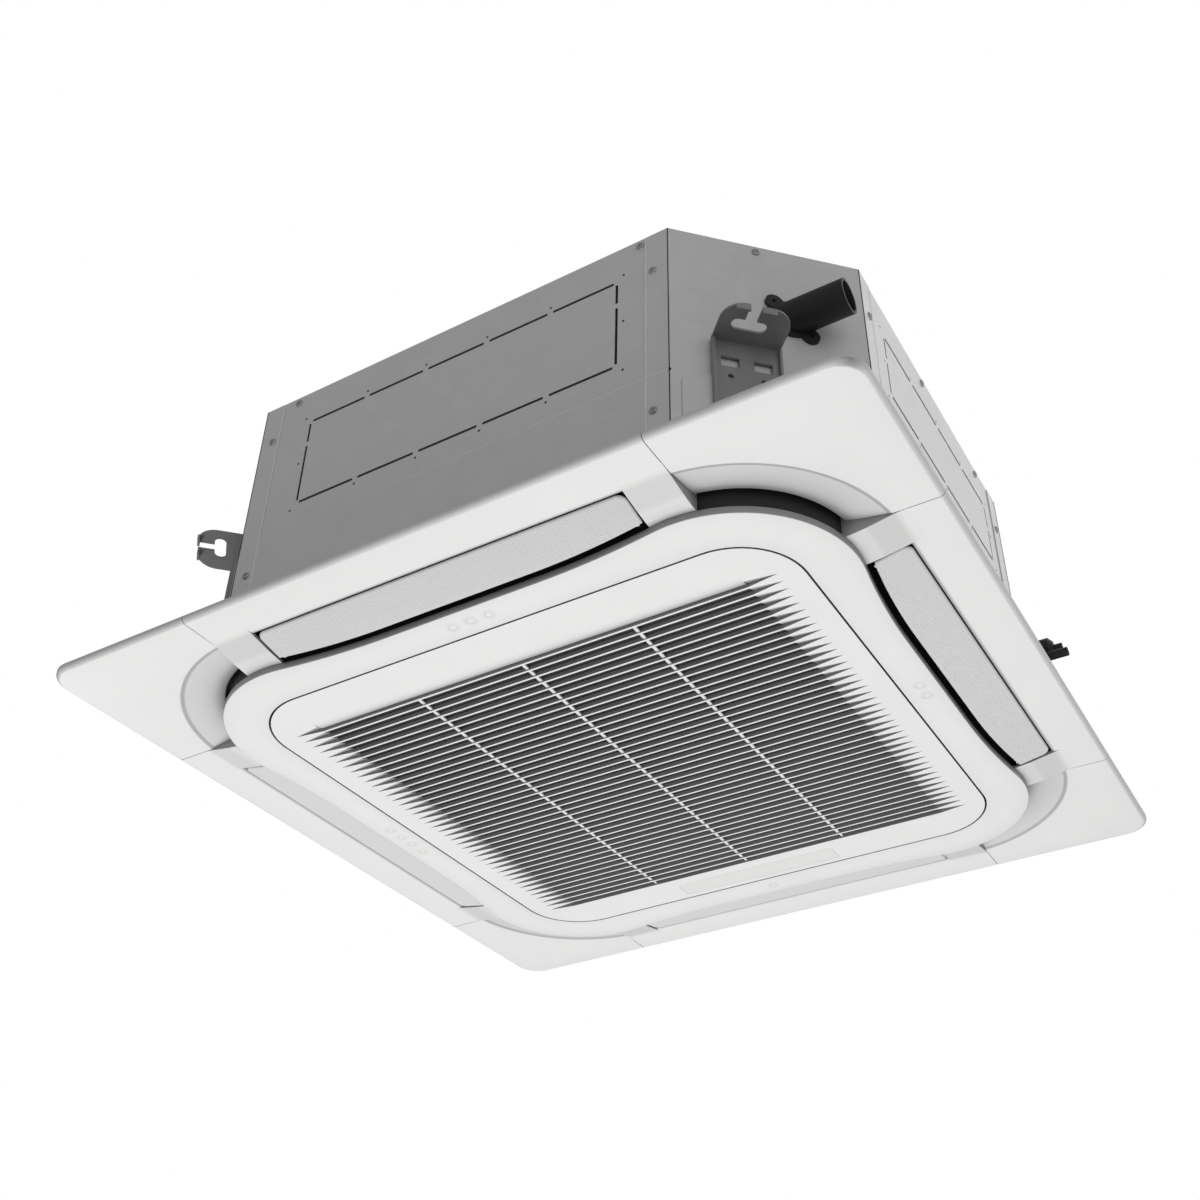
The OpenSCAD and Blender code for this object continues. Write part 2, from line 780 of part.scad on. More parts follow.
// Insulation on the inside of the casing
module foam_liner() color("ivory") {
    difference() {
        slab(body_z0, body_z1 - sheet) difference() {
            polygon(body_outline(3 * sheet + ease));
            polygon(body_outline(3 * sheet + liner_t));
        }
        translate([pump_at, -pump_at, body_z0]) cylinder(h = body_h, r = pump_r + 4 * ease);
        drain_hole();
        for (p = [[gas_y, gas_z, gas_pipe_d / 2], [liquid_y, liquid_z, liquid_pipe_d / 2]])
            translate([recess_x - 2 * liner_t, p.x, p.y]) rotate([0, 90, 0])
                cylinder(h = recess_x, r = p.z + ease);
        for (i = [0:3]) on_side(i) for (t = concat(screw_top_at, [-screw_side, screw_side]))
            for (z = concat(screw_lows, [body_h - screw_top]))
                translate([i == 1 && z > screw_lows[1] ? t * recess_y / body_half : t, -body_half, 0])
                    block(-screw_head_r, screw_head_r, 0, 3 * screw_in,
                        body_z0 + z - screw_head_r, body_z0 + z + screw_head_r);
        on_side(1) for (z = screw_lows) translate([recess_y - flange_w / 2, -body_half, 0])
            block(-screw_head_r, screw_head_r, 0, 3 * screw_in,
                body_z0 + z - screw_head_r, body_z0 + z + screw_head_r);
        for (m = [[0, 0], [1, 0], [0, 1], [1, 1]]) on_cut(m.x, m.y) for (z = hanger_screw_drop)
            translate([hanger_s, 3 * screw_in, -z]) rotate([90, 0, 0])
                cylinder(h = 3 * screw_in, r = hanger_screw_r + ease);
    }
}

// Finned coil, bent round the fan, open at the rear right corner
module coil_outline(grow) difference() {
    polygon(round_square(coil_half + grow, coil_r + grow));
    polygon(round_square(coil_half - coil_t - grow, coil_r - coil_t - grow));
}

module coil_corner(grow)
    translate([coil_gap_at + grow, coil_gap_at + grow]) square(coil_half + coil_r);

module heat_exchanger() color("lightsteelblue") {
    slab(coil_z, coil_z + coil_h) difference() {
        coil_outline(0);
        coil_corner(0);
    }
}

// Return bends and end plates at the coil's two ends
module coil_end() {
    translate([coil_gap_at, 0, 0])
        block(0, end_plate, coil_half - coil_t, coil_half, coil_z, coil_z + coil_h);
    for (i = [0:bend_count - 1])
        translate([coil_gap_at + end_plate, coil_half - coil_t / 2, coil_z + bend_pitch * (i + 0.5)])
            rotate([90, 0, 0]) rotate(-90) rotate_extrude(angle = 180)
                translate([bend_r, 0]) circle(bend_wire, $fn = 24);
}

module coil_bends() color("peru") {
    coil_end();
    mirror([1, -1, 0]) coil_end();
}

module gas_pipe() color("peru") {
    pipe([header_x, header_y, body_z0 + header_low], [header_x, header_y, gas_z], header_r);
    pipe([header_x, header_y, gas_z], [header_x, header_y, body_z0 + header_high], header_r);
    pipe([header_x, header_y, gas_z], [header_x, gas_y, gas_z], gas_pipe_d / 2 - ease);
    pipe([header_x, gas_y, gas_z], [gas_cap - gas_pipe_d, gas_y, gas_z], gas_pipe_d / 2 - ease);
}

module liquid_pipe() color("peru") {
    pipe([header_y, header_x, liquid_z + 3 * bend_pitch], [header_y, header_x, liquid_z],
        liquid_pipe_d / 2 - ease);
    pipe([header_y, header_x, liquid_z], [header_y, liquid_y, liquid_z],
        liquid_pipe_d / 2 - ease);
    pipe([header_y, liquid_y, liquid_z], [gas_end - grommet_t, liquid_y, liquid_z],
        liquid_pipe_d / 2 - ease);
    translate([header_y, header_x, liquid_z + 2 * bend_pitch])
        cylinder(h = 2 * bend_pitch, r = liquid_pipe_d);
}

// Foam drain pan: a trough under the coil, lobes in the four corners
module pan_outline() intersection() {
    polygon(body_outline(3 * sheet + liner_t + ease));
    union() {
        square(2 * pan_half, center = true);
        for (k = [0:3]) rotate(90 * k) translate([duct_half, duct_half]) square(body_half);
    }
}

module drain_pan() color("white") difference() {
    slab(body_z0, pan_z1) difference() {
        pan_outline();
        circle(pan_hole_r);
    }
    slab(coil_z, pan_z1 + over) difference() {
        polygon(round_square(coil_half + ease, coil_r + ease));
        polygon(round_square(coil_half - coil_t - ease, coil_r - coil_t - ease));
    }
    block(-box_x - ease, box_x + ease, -box_y1 - ease, -box_y0 + ease,
        body_z0 - over, body_z0 + box_low + box_h - body_rise + ease);
    translate([pump_at, -pump_at, coil_z]) cylinder(h = pan_h, r = pump_foot_r + 4 * ease);
    translate([float_at.x, float_at.y, coil_z]) cylinder(h = pan_h, r = float_r + 4 * ease);
    for (k = [0:3]) rotate(90 * k) translate([gusset_at, gusset_at, body_z0 - over])
        cylinder(h = panel_screw_l, r = panel_screw_r + pin_clear);
}

// Inlet of the fan: a flange under the pan and a flared throat
module bell_mouth() color("whitesmoke") {
    throat = eye_d / 2 - bell_eye_gap - bell_wall;
    flare = bell_mouth_r - throat;
    rise = bell_h - bell_wall;
    curve = [for (i = [0:bell_steps]) let (a = 90 * i / bell_steps)
        [throat + flare * (1 - sin(a)), -bell_wall + rise * (1 - cos(a)) * 0.62]];
    rotate_extrude() translate([0, body_z0]) polygon(concat(
        [[bell_flange_r, 0], [bell_flange_r, -bell_wall]], curve,
        [[throat, rise], [throat + bell_wall, rise]],
        [for (i = [bell_steps:-1:0]) curve[i] + [bell_wall, i == 0 ? bell_wall : bell_wall / 3]]));
}

// Motor under the top plate, on a cross with rubber feet
module fan_motor() color("gray") difference() {
    union() {
        translate([0, 0, motor_z1 - motor_h]) cylinder(h = motor_h, r = motor_d / 2);
        translate([0, 0, motor_z1 - motor_h - bead_h]) cylinder(h = bead_h, r = boss_r + rubber_r);
    }
    translate([0, 0, motor_z1 - motor_h - bead_h - over])
        cylinder(h = motor_h / 2 + 3 * over, r = shaft_r + pin_clear);
}

module motor_mount() color("darkgray") {
    slab(motor_z1, motor_z1 + mount_t) for (a = [0, 90]) rotate(a)
        square([2 * mount_reach, mount_w], center = true);
    for (a = [0:90:270]) rotate(a) translate([mount_reach - rubber_r, 0, motor_z1 + mount_t])
        cylinder(h = motor_foot, r = rubber_r);
}

module motor_shaft() color("silver")
    translate([0, 0, motor_z1 - motor_h - shaft_l + motor_h / 2 - 2 * over])
        cylinder(h = shaft_l, r = shaft_r);

// Fan: a hub that houses the motor, bent blades and a shroud
module fan_hub() color("lightgray") difference() {
    union() {
        translate([0, 0, fan_top]) cylinder(h = fan_wall, r = fan_d / 2);
        translate([0, 0, fan_top - hub_nose])
            cylinder(h = hub_nose, r1 = hub_nose_r, r2 = hub_r);
    }
    translate([0, 0, fan_top - hub_nose + fan_wall])
        cylinder(h = hub_nose + over, r1 = hub_nose_r, r2 = hub_r + over);
    translate([0, 0, fan_top - hub_nose - over])
        cylinder(h = fan_wall + 2 * over, r = shaft_r);
}

// Blade section: a bowed line with a round nose and a thin tail
function blade_line(u, side) =
    [blade_chord * u, blade_bow * sin(180 * u) + side * blade_t * sqrt(u) * (1 - u)];
module blade_section() polygon(concat(
    [for (i = [0:blade_steps]) blade_line(i / blade_steps, 1)],
    [for (i = [blade_steps - 1:-1:1]) blade_line(i / blade_steps, -1)]));

module fan_blades() color("lightgray") slab(fan_low + shroud_rise + fan_wall, fan_top)
    for (k = [0:blade_count - 1]) rotate(360 * k / blade_count)
        translate([blade_in, 0]) rotate(blade_lean) blade_section();

module fan_shroud() color("lightgray") rotate_extrude() {
    translate([0, fan_low]) polygon([
        [eye_d / 2, 0], [eye_d / 2 + fan_wall, 0],
        [eye_d / 2 + 1.5 * fan_wall, shroud_rise * 0.6], [eye_d / 2 + 3 * fan_wall, shroud_rise],
        [fan_d / 2, shroud_rise], [fan_d / 2, shroud_rise + fan_wall],
        [eye_d / 2 + 2 * fan_wall, shroud_rise + fan_wall],
        [eye_d / 2 + 0.5 * fan_wall, shroud_rise * 0.7]]);
}

module fan_nut() color("silver") difference() {
    translate([0, 0, fan_top - hub_nose - nut_h]) cylinder(h = nut_h, r = nut_r, $fn = 6);
    translate([0, 0, fan_top - hub_nose - nut_h - over])
        cylinder(h = nut_h + 2 * over, r = shaft_r);
}

// Pump in the front right corner, its hose and the float switch
module drain_pump() color("dimgray") translate([pump_at, -pump_at, 0]) {
    translate([0, 0, coil_z]) cylinder(h = pump_foot_h + pump_low - pan_floor, r = pump_foot_r);
    translate([0, 0, body_z0 + pump_low + pump_foot_h]) cylinder(h = pump_h, r = pump_r);
    translate([0, pump_at - drain_y, body_z0 + pump_low + pump_foot_h + pump_h])
        cylinder(h = nozzle_h, r = nozzle_r);
}

module pump_hose() color("black") difference() {
    union() {
        pipe([pump_at, -drain_y, hose_z0], [pump_at, -drain_y, drain_z], hose_r);
        along_drain(pump_at, drain_in + hose_in, hose_r);
    }
    translate([pump_at, -drain_y, hose_z0 - over])
        cylinder(h = drain_z - hose_z0 + over, r = nozzle_r);
    translate([pump_at, -drain_y, drain_z]) sphere(r = nozzle_r, $fn = 32);
    along_drain(pump_at, drain_end, nozzle_r);
}

module float_stem() color("white") translate([float_at.x, float_at.y, coil_z]) {
    cylinder(h = stem_l, r = stem_r);
    translate([0, 0, stem_l]) cylinder(h = stem_cap_h, r = stem_cap_r);
}

module float() color("gold") translate([float_at.x, float_at.y, coil_z + ease]) difference() {
    cylinder(h = float_h, r = float_r);
    translate([0, 0, -over]) cylinder(h = float_h + 2 * over, r = stem_r + pin_clear);
}

// Control box under the pan, beside the bell mouth
box_z0 = rim_z + box_low;

module control_box() color("silver") {
    difference() {
        block(-box_x, box_x, -box_y1, -box_y0, box_z0 + box_wall, box_z0 + box_h);
        block(-box_x + box_wall, box_x - box_wall, -box_y1 + box_wall, -box_y0 - box_wall,
            box_z0 - over, box_z0 + box_h - box_wall);
    }
}

module control_lid() color("darkgray")
    block(-box_x, box_x, -box_y1, -box_y0, box_z0, box_z0 + box_wall);

module circuit_board() color("green") {
    block(-box_x + card_in, box_x - card_in, -box_y1 + card_in, -box_y0 - card_in,
        box_z0 + box_h - card_up - card_t, box_z0 + box_h - card_up);
    for (x = [-1, 1]) for (y = [box_y0 + 3 * card_in, box_y1 - 3 * card_in])
        translate([x * (box_x - 3 * card_in), -y, box_z0 + box_h - card_up])
            cylinder(h = card_up - box_wall, r = post_r);
    for (x = [-2:2]) block(x * box_x / 3 - 3 * card_in, x * box_x / 3 + 2 * card_in,
        -box_y1 + 4 * card_in, -box_y0 - 4 * card_in,
        box_z0 + box_h - card_up - card_t - (4 + x) * card_t,
        box_z0 + box_h - card_up - card_t);
}

// Panel
module corner_zone(grow) translate([seam_at + grow, seam_at + grow])
    square(panel_half);

// Bridge beside a flap: its lower face carries on the flap's slope
bridge_end = slot_out + skin;
bridge_foot = ring_half - collar_gap;
bridge_bend = ring_half + flap_ring_gap + 1.5 * skin;
module bridge_face() polygon([
    [bridge_end, rim_z], [bridge_bend, rim_z - bridge_low], [bridge_foot, rim_z - bridge_low],
    [bridge_foot, rim_z - bridge_low + bridge_wall],
    [bridge_bend, rim_z - bridge_low + bridge_wall], [bridge_end, rim_z + bridge_wall]]);
duct_out = body_half - 3 * sheet - liner_t - skin;
module bridge_web() polygon([
    [bridge_end, rim_z], [bridge_bend, rim_z - bridge_low], [bridge_foot, rim_z - bridge_low],
    [bridge_foot, body_z0], [duct_out, body_z0], [bridge_end, rim_z + skin]]);
module duct_wall() polygon([
    [slot_out, rim_z], [bridge_end, rim_z], [bridge_end, rim_z + skin],
    [duct_out + skin, body_z0], [duct_out, body_z0], [slot_out, rim_z + skin]]);
module bearing_web() polygon([
    [pivot_at + bearing_w / 2, rim_z], [pivot_at - bearing_w / 2, rim_z - bridge_low + skin],
    [pivot_at - bearing_w / 2, pivot_z + bearing_w / 2],
    [pivot_at + bearing_w / 2, pivot_z + bearing_w / 2]]);

bush_r = flap_pin_r + pin_clear + bush_wall;
bush_at = bridge_at + bush_gap;

// Band with its rolled edge, and what a rolled edge leaves out of a square one, both drawn
// outwards and upwards; the second starts at a distance from the panel's middle
rolled = [for (i = [0:arc_steps / 2]) let (a = -90 + 180 * i / arc_steps)
    [rim_roll * (cos(a) - 1), rim_z + rim_roll * (1 + sin(a))]];
module band_face() polygon(concat([[slot_out, rim_z]],
    [for (p = rolled) p + [panel_half, 0]],
    [[panel_half, rim_z + rim_h], [panel_half - skin, rim_z + rim_h],
     [panel_half - skin, rim_z + 2 * skin], [slot_out, rim_z + 2 * skin]]));
module edge_cut(half) polygon(concat([for (p = rolled) p + [half, 0]],
    [[half + over, rim_z + rim_roll], [half + over, rim_z - over],
     [half - rim_roll, rim_z - over]]));

module panel_side() {
    along_side(-seam_at + seam_gap / 2, seam_at - seam_gap / 2) band_face();
    along_side(-seam_at, seam_at) duct_wall();
    for (e = [0, 1]) mirror([e, 0, 0]) {
        along_side(bridge_at, seam_at) bridge_face();
        along_side(seam_at - skin, seam_at) bridge_web();
        difference() {
            along_side(bush_at, bush_at + bush_l) bearing_web();
            side_rod(bush_at - over, bush_at + bush_l + over, pivot_at, pivot_z, bush_r);
        }
    }
}

module panel_frame() color("white") {
    for (i = [0:3]) on_side(i) panel_side();
    // carrier plate over the corner covers
    slab(rim_z + skin, rim_z + 2 * skin) difference() {
        polygon(round_square(panel_half - skin - ease, panel_r - skin));
        square([2 * slot_out, 2 * seam_at], center = true);
        square([2 * seam_at, 2 * slot_out], center = true);
        for (k = [0:3]) rotate(90 * k) translate([round_c, round_c]) circle(dish_r + skin);
    }
    // collar between the intake and the air slots
    slab(face_z + skin + ease, body_z0) difference() {
        polygon(ring_outline(collar_gap));
        polygon(ring_outline(collar_gap + skin));
    }
    // corner gussets for the panel screws, and the walls over the corner slots
    for (k = [0:3]) rotate(90 * k) {
        difference() {
            slab(body_z0 - gusset_h, body_z0) intersection() {
                polygon(ring_outline(collar_gap + skin / 2));
                translate([gusset_in, gusset_in]) square(ring_corner_r);
            }
            translate([gusset_at, gusset_at, body_z0 - gusset_h - over])
                cylinder(h = gusset_h + 2 * over, r = panel_screw_r + ease);
        }
        slab(rim_z + dish_h + skin + ease, body_z0) intersection() {
            translate([round_c, round_c]) difference() {
                circle(dish_in + 2 * skin);
                circle(dish_in + skin);
            }
            translate([seam_at - skin, seam_at - skin]) square(dish_r);
        }
    }
}

// Corner cover: flat band, rim, and the hollow that runs round the corner air slot
function dish_rise(u) = dish_h * (1 - cos(180 * u)) / 2;
dish_points = [for (i = [0:arc_steps])
    [dish_r - (dish_r - dish_in) * i / arc_steps, dish_rise(i / arc_steps)]];

module corner_cover(i) color("white") on_corner(i) {
    intersection() {
        difference() {
            slab(rim_z, rim_z + rim_h) polygon(round_square(panel_half, panel_r));
            slab(rim_z + skin, rim_z + rim_h + over)
                polygon(round_square(panel_half - skin, panel_r - skin));
            translate([round_c, round_c, rim_z - over]) cylinder(h = rim_h + 2 * over, r = dish_r);
            for (side = [1, 2]) on_side(side)
                along_side(-panel_half + panel_r, panel_half - panel_r) edge_cut(panel_half);
            translate([panel_half - panel_r, panel_half - panel_r, 0])
                rotate_extrude(angle = 90) edge_cut(panel_r);
        }
        slab(rim_z - over, body_z0) corner_zone(seam_gap / 2);
    }
    intersection() {
        translate([round_c, round_c, rim_z]) rotate_extrude() polygon(concat(
            dish_points, [for (j = [arc_steps:-1:0]) dish_points[j] + [0, skin]]));
        slab(rim_z - over, body_z0) corner_zone(seam_gap / 2);
    }
}

module front_left_cover() corner_cover(2);
module front_right_cover() corner_cover(3);
module rear_right_cover() corner_cover(0);
module rear_left_cover() corner_cover(1);

// Centre ring round the grille
module intake_ring() color("white") {
    slab(face_z, face_z + skin) difference() {
        polygon(ring_outline(0));
        polygon(round_square(open_half, grille_r + grille_gap));
    }
    slab(face_z, face_z + ring_skirt) difference() {
        polygon(ring_outline(0));
        polygon(ring_outline(collar_gap - ease));
    }
    slab(face_z, face_z + upstand_h) difference() {
        polygon(round_square(open_half + upstand_t, grille_r + grille_gap + upstand_t));
        polygon(round_square(open_half, grille_r + grille_gap));
        for (e = [-1, 1]) translate([e * hinge_x, open_half + upstand_t / 2])
            square([hinge_arm_w + 2 * lug_gap, 2 * upstand_t], center = true);
    }
    for (i = [0:3]) on_side(i) for (j = [0:dot_counts[i] - 1])
        translate([(j - (dot_counts[i] - 1) / 2) * dot_pitch, -dot_at, face_z - dot_h])
            cylinder(h = dot_h, r = dot_r, $fn = 32);
    for (e = [-1, 1]) {
        // ears that hold the pins of the grille's arms
        for (f = [-1, 1])
            translate([e * hinge_x + f * (hinge_arm_w / 2 + lug_gap + lug_w / 2), hinge_y, 0])
                difference() {
                    union() {
                        block(-lug_w / 2, lug_w / 2, -lug_r, lug_r, face_z + skin / 2, hinge_z);
                        translate([-lug_w / 2, 0, hinge_z]) rotate([0, 90, 0])
                            cylinder(h = lug_w, r = lug_r);
                    }
                    translate([-lug_w, 0, hinge_z]) rotate([0, 90, 0])
                        cylinder(h = 2 * lug_w, r = hinge_r + pin_clear);
                }
        // shelves of the catches
        difference() {
            block(e * catch_x - catch_box_x / 2, e * catch_x + catch_box_x / 2,
                -open_half - upstand_t / 2, -catch_y + catch_box_y / 2,
                face_z + upstand_h - catch_shelf, face_z + upstand_h);
            translate([e * catch_x, -catch_y, face_z])
                cylinder(h = upstand_h + over, r = catch_r + ease);
        }
    }
}

// Flap: a sloping plate with two arms and two pins
flap_slope = flap_drop / (slot_out - flap_gap - flap_in);
function flap_z(out) = rim_z - (slot_out - flap_gap - out) * flap_slope - over;
flap_outline = concat(
    arc([flap_half - flap_corner, -slot_out + flap_gap + flap_corner], flap_corner, -90, 0, 4),
    [for (i = [0:arc_steps]) let (t = (flap_half - flap_corner / 2) * (1 - 2 * i / arc_steps))
        [t, -flap_in - side_sag(t) - (i == 0 || i == arc_steps ? flap_corner / 2 : 0)]],
    arc([-flap_half + flap_corner, -slot_out + flap_gap + flap_corner], flap_corner, 180, 270, 4));

module flap(i) color("lightgray") on_side(i) {
    intersection() {
        slab(rim_z - 2 * ring_drop, body_z0) polygon(flap_outline);
        along_side(-flap_half, flap_half) polygon([
            [slot_out, flap_z(slot_out)], [flap_in - over, flap_z(flap_in - over)],
            [flap_in - over, flap_z(flap_in - over) + flap_wall],
            [slot_out, flap_z(slot_out) + flap_wall]]);
    }
    for (e = [0, 1]) mirror([e, 0, 0]) {
        along_side(flap_half - arm_r - arm_t, flap_half - arm_r) {
            polygon([[pivot_at + arm_foot / 2, flap_z(pivot_at + arm_foot / 2) + flap_wall / 2],
                [pivot_at - arm_foot / 2, flap_z(pivot_at - arm_foot / 2) + flap_wall / 2],
                [pivot_at - arm_r, pivot_z], [pivot_at + arm_r, pivot_z]]);
            translate([pivot_at, pivot_z]) circle(arm_r);
        }
        side_rod(flap_half - arm_r - arm_t, bush_at + bush_l, pivot_at, pivot_z, flap_pin_r);
    }
}

module front_flap() flap(0);
module right_flap() flap(1);
module rear_flap() flap(2);
module left_flap() flap(3);

module flap_motors() color("dimgray") for (i = [0:3]) on_side(i) difference() {
    union() {
        side_rod(bush_at + bush_l + ease, bush_at + bush_l + flap_motor_l, pivot_at, pivot_z,
            flap_motor_r);
        block(bush_at + bush_l, bush_at + bush_l + flap_ear_t, -pivot_at - flap_ear_w / 2,
            -pivot_at + flap_ear_w / 2, pivot_z - flap_motor_r / 2,
            pivot_z - flap_motor_r / 2 + flap_ear_h);
    }
    side_rod(bush_at + bush_l - over, bush_at + bush_l + ease + pin_clear, pivot_at, pivot_z,
        flap_pin_r + ease);
}

module flap_bushes() color("white") for (i = [0:3]) on_side(i) for (e = [0, 1])
    mirror([e, 0, 0]) difference() {
        side_rod(bush_at, bush_at + bush_l, pivot_at, pivot_z, bush_r);
        side_rod(bush_at - over, bush_at + bush_l + over, pivot_at, pivot_z,
            flap_pin_r + pin_clear);
    }

module panel_screws() color("silver") for (k = [0:3]) rotate(90 * k)
    translate([gusset_at, gusset_at, body_z0 - gusset_h]) {
        translate([0, 0, -panel_head_h]) cylinder(h = panel_head_h, r = panel_head_r);
        cylinder(h = panel_screw_l - over - panel_head_h, r = panel_screw_r);
    }

// Grille
slot_tip = slot_half + slot_point;

// Hollow at the end of a slot: flush at the slat's rear edge and at the tip, deepest at the
// next slat
module slot_end(y) for (e = [0, 1]) mirror([e, 0, 0])
    translate([0, y, face_z]) polyhedron(
        [[slot_half - over, -slat_pitch / 2 + slat_w / 2, -over / 8],
         [slot_tip, 0, -over / 8],
         [slot_half - over, slat_pitch / 2 - slat_w / 2, -over / 8],
         [slot_half - over, slat_pitch / 2 - slat_w / 2, slat_h]],
        [[0, 1, 2], [0, 3, 1], [1, 3, 2], [0, 2, 3]]);

// Soft roll of the front border, which ends in a blind groove at the first slat
module border_roll() polygon(concat([[groove_at, -over], [groove_at + groove_w, -over]],
    [for (j = [0:8]) let (a = 90 * j / 8)
        [groove_at + groove_w * (1 - sin(a)), border_dip * (1 - cos(a))]]));

module intake_grille() color("white") {
    difference() {
        slab(face_z, face_z + grille_t) polygon(round_square(grille_half, grille_r));
        block(-slot_half, slot_half, slat_first, slats_half - slat_w / 2,
            face_z - over, face_z + grille_t + over);
        for (i = [0:slat_count]) slot_end(slat_first + (i - 0.5) * slat_pitch);
        translate([0, 0, face_z]) along_side(-slot_half, slot_half) border_roll();
        // recess of the display window, with its two lamp holes
        window_shape(face_z - over, face_z + window_t, ease);
        for (x = lamp_at) translate([x, window_at, face_z])
            cylinder(h = grille_t + over, r = lamp_r, $fn = 24);
    }
    intersection() {
        union() {
            for (i = [0:slat_count - 1]) translate([0, slat_first + i * slat_pitch, 0])
                block(-slot_half - over, slot_half + over, -slat_w / 2, slat_w / 2,
                    face_z, face_z + slat_h);
            for (x = [-rib_at, 0, rib_at])
                block(x - cross_w / 2, x + cross_w / 2, slat_first, slats_half,
                    face_z + cross_up, face_z + cross_up + cross_h);
        }
        block(-slot_half, slot_half, -slats_half, slats_half, face_z, face_z + grille_t);
    }
}

module window_shape(z0, z1, grow) translate([0, window_at, 0]) slab(z0, z1) {
    square([window_l + 2 * grow, window_w - 2 * window_r], center = true);
    square([window_l - 2 * window_r, window_w + 2 * grow], center = true);
    for (x = [-1, 1]) for (y = [-1, 1])
        translate([x * (window_l / 2 - window_r), y * (window_w / 2 - window_r)])
            circle(window_r + grow, $fn = 32);
}

module display_window() color("whitesmoke") window_shape(face_z, face_z + window_t, 0);

module receiver_board() color("green") {
    block(lamp_at[0] - board_l / 2, lamp_at[0] + board_l / 2 + window_r,
        window_at - board_w / 2, window_at + board_w / 2 - 2 * lug_r,
        face_z + grille_t, face_z + grille_t + board_t);
    block(lamp_at[0] - board_w / 2, lamp_at[0] + board_w / 2, window_at - board_w / 4,
        window_at + board_w / 4 - lug_r, face_z + grille_t + board_t,
        face_z + grille_t + board_t + chip_h);
}

module filter_outline(grow) square([2 * (filter_half_x + grow), 2 * (filter_half_y + grow)],
    center = true);

module filter_frame() color("gray") {
    slab(face_z + grille_t, face_z + grille_t + filter_h) difference() {
        filter_outline(0);
        filter_outline(-filter_bar);
    }
    slab(face_z + grille_t + mesh_t + ease, face_z + grille_t + filter_h)
        for (i = [1:filter_cells - 1]) {
            t = -filter_half_x + 2 * filter_half_x * i / filter_cells;
            translate([t - mesh_t, -filter_half_y + over])
                square([2 * mesh_t, 2 * filter_half_y - 2 * over]);
            translate([-filter_half_x + over, t - mesh_t])
                square([2 * filter_half_x - 2 * over, 2 * mesh_t]);
        }
}

module filter_mesh() color("dimgray")
    slab(face_z + grille_t, face_z + grille_t + mesh_t) filter_outline(-filter_bar - ease / 2);

// Gooseneck arms: a foot on the grille, a round neck over the ring's edge, an eye and its pin.
// Open, the neck's hollow goes round the ring's edge.
module hinge_arm_shape() {
    intersection() {
        difference() {
            circle(hinge_arm_r + hinge_arm_t / 2);
            circle(hinge_arm_r - hinge_arm_t / 2);
        }
        translate([-hinge_arm_r - hinge_arm_t, grille_t - hinge_up])
            square([hinge_arm_r + 1.5 * hinge_arm_t, 2 * hinge_arm_r]);
    }
    translate([-hinge_arm_t / 2, 0]) square([hinge_arm_t, hinge_arm_r]);
    circle(lug_r);
    translate([-hinge_arm_r - hinge_foot_l, grille_t - hinge_up])
        square([hinge_foot_l, hinge_foot_t]);
}

module hinge_arms() color("silver") for (e = [-1, 1]) {
    translate([e * hinge_x - hinge_arm_w / 2, 0, 0]) rotate([90, 0, 90])
        linear_extrude(hinge_arm_w) translate([hinge_y, hinge_z]) hinge_arm_shape();
    translate([e * hinge_x - hinge_arm_w / 2 - lug_gap - lug_w, hinge_y, hinge_z])
        rotate([0, 90, 0]) cylinder(h = hinge_arm_w + 2 * lug_gap + 2 * lug_w, r = hinge_r);
}

module catch_housings() color("gray") for (e = [-1, 1]) difference() {
    block(e * catch_x - catch_box_x / 2, e * catch_x + catch_box_x / 2,
        -catch_y - catch_box_y / 2, -catch_y + catch_box_y / 2,
        face_z + upstand_h, face_z + upstand_h + catch_box_h);
    translate([e * catch_x, -catch_y, face_z + upstand_h - over])
        cylinder(h = catch_box_h - catch_shelf + over, r = catch_r + pin_clear);
}

module catch(e) color("silver") translate([e * catch_x, -catch_y, face_z + grille_t + ease]) {
    cylinder(h = catch_l, r = catch_r);
}

module left_catch() catch(-1);
module right_catch() catch(1);

top_plate();
front_plate();
right_plate();
rear_plate();
left_plate();
front_left_corner_plate();
front_right_corner_plate();
rear_left_corner_plate();
pipe_cover();
casing_screws();
front_left_hanger();
front_right_hanger();
rear_right_hanger();
rear_left_hanger();
drain_socket();
gas_union();
liquid_union();
foam_liner();
heat_exchanger();
coil_bends();
gas_pipe();
liquid_pipe();
drain_pan();
bell_mouth();
fan_motor();
motor_mount();
motor_shaft();
fan_hub();
fan_blades();
fan_shroud();
fan_nut();
drain_pump();
pump_hose();
float_stem();
float();
control_box();
control_lid();
circuit_board();
panel_frame();
front_left_cover();
front_right_cover();
rear_right_cover();
rear_left_cover();
intake_ring();
front_flap();
right_flap();
rear_flap();
left_flap();
flap_motors();
flap_bushes();
panel_screws();
intake_grille();
filter_frame();
filter_mesh();
display_window();
receiver_board();
hinge_arms();
catch_housings();
left_catch();
right_catch();
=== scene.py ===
"""Looks of a ceiling cassette air conditioner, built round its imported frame.

Sizes in the sub-assemblies are millimetres above or beside the part's own planes, as in its
drawing, and Shell turns them into metres. Heights marked as panel heights count from the
panel's lower edge. Each sub-assembly is a class: its sizes are fields, and its build method
makes the pieces, gives them their finish and hangs them on a body of the frame.
"""

import logging
import math
from dataclasses import dataclass
from enum import Enum

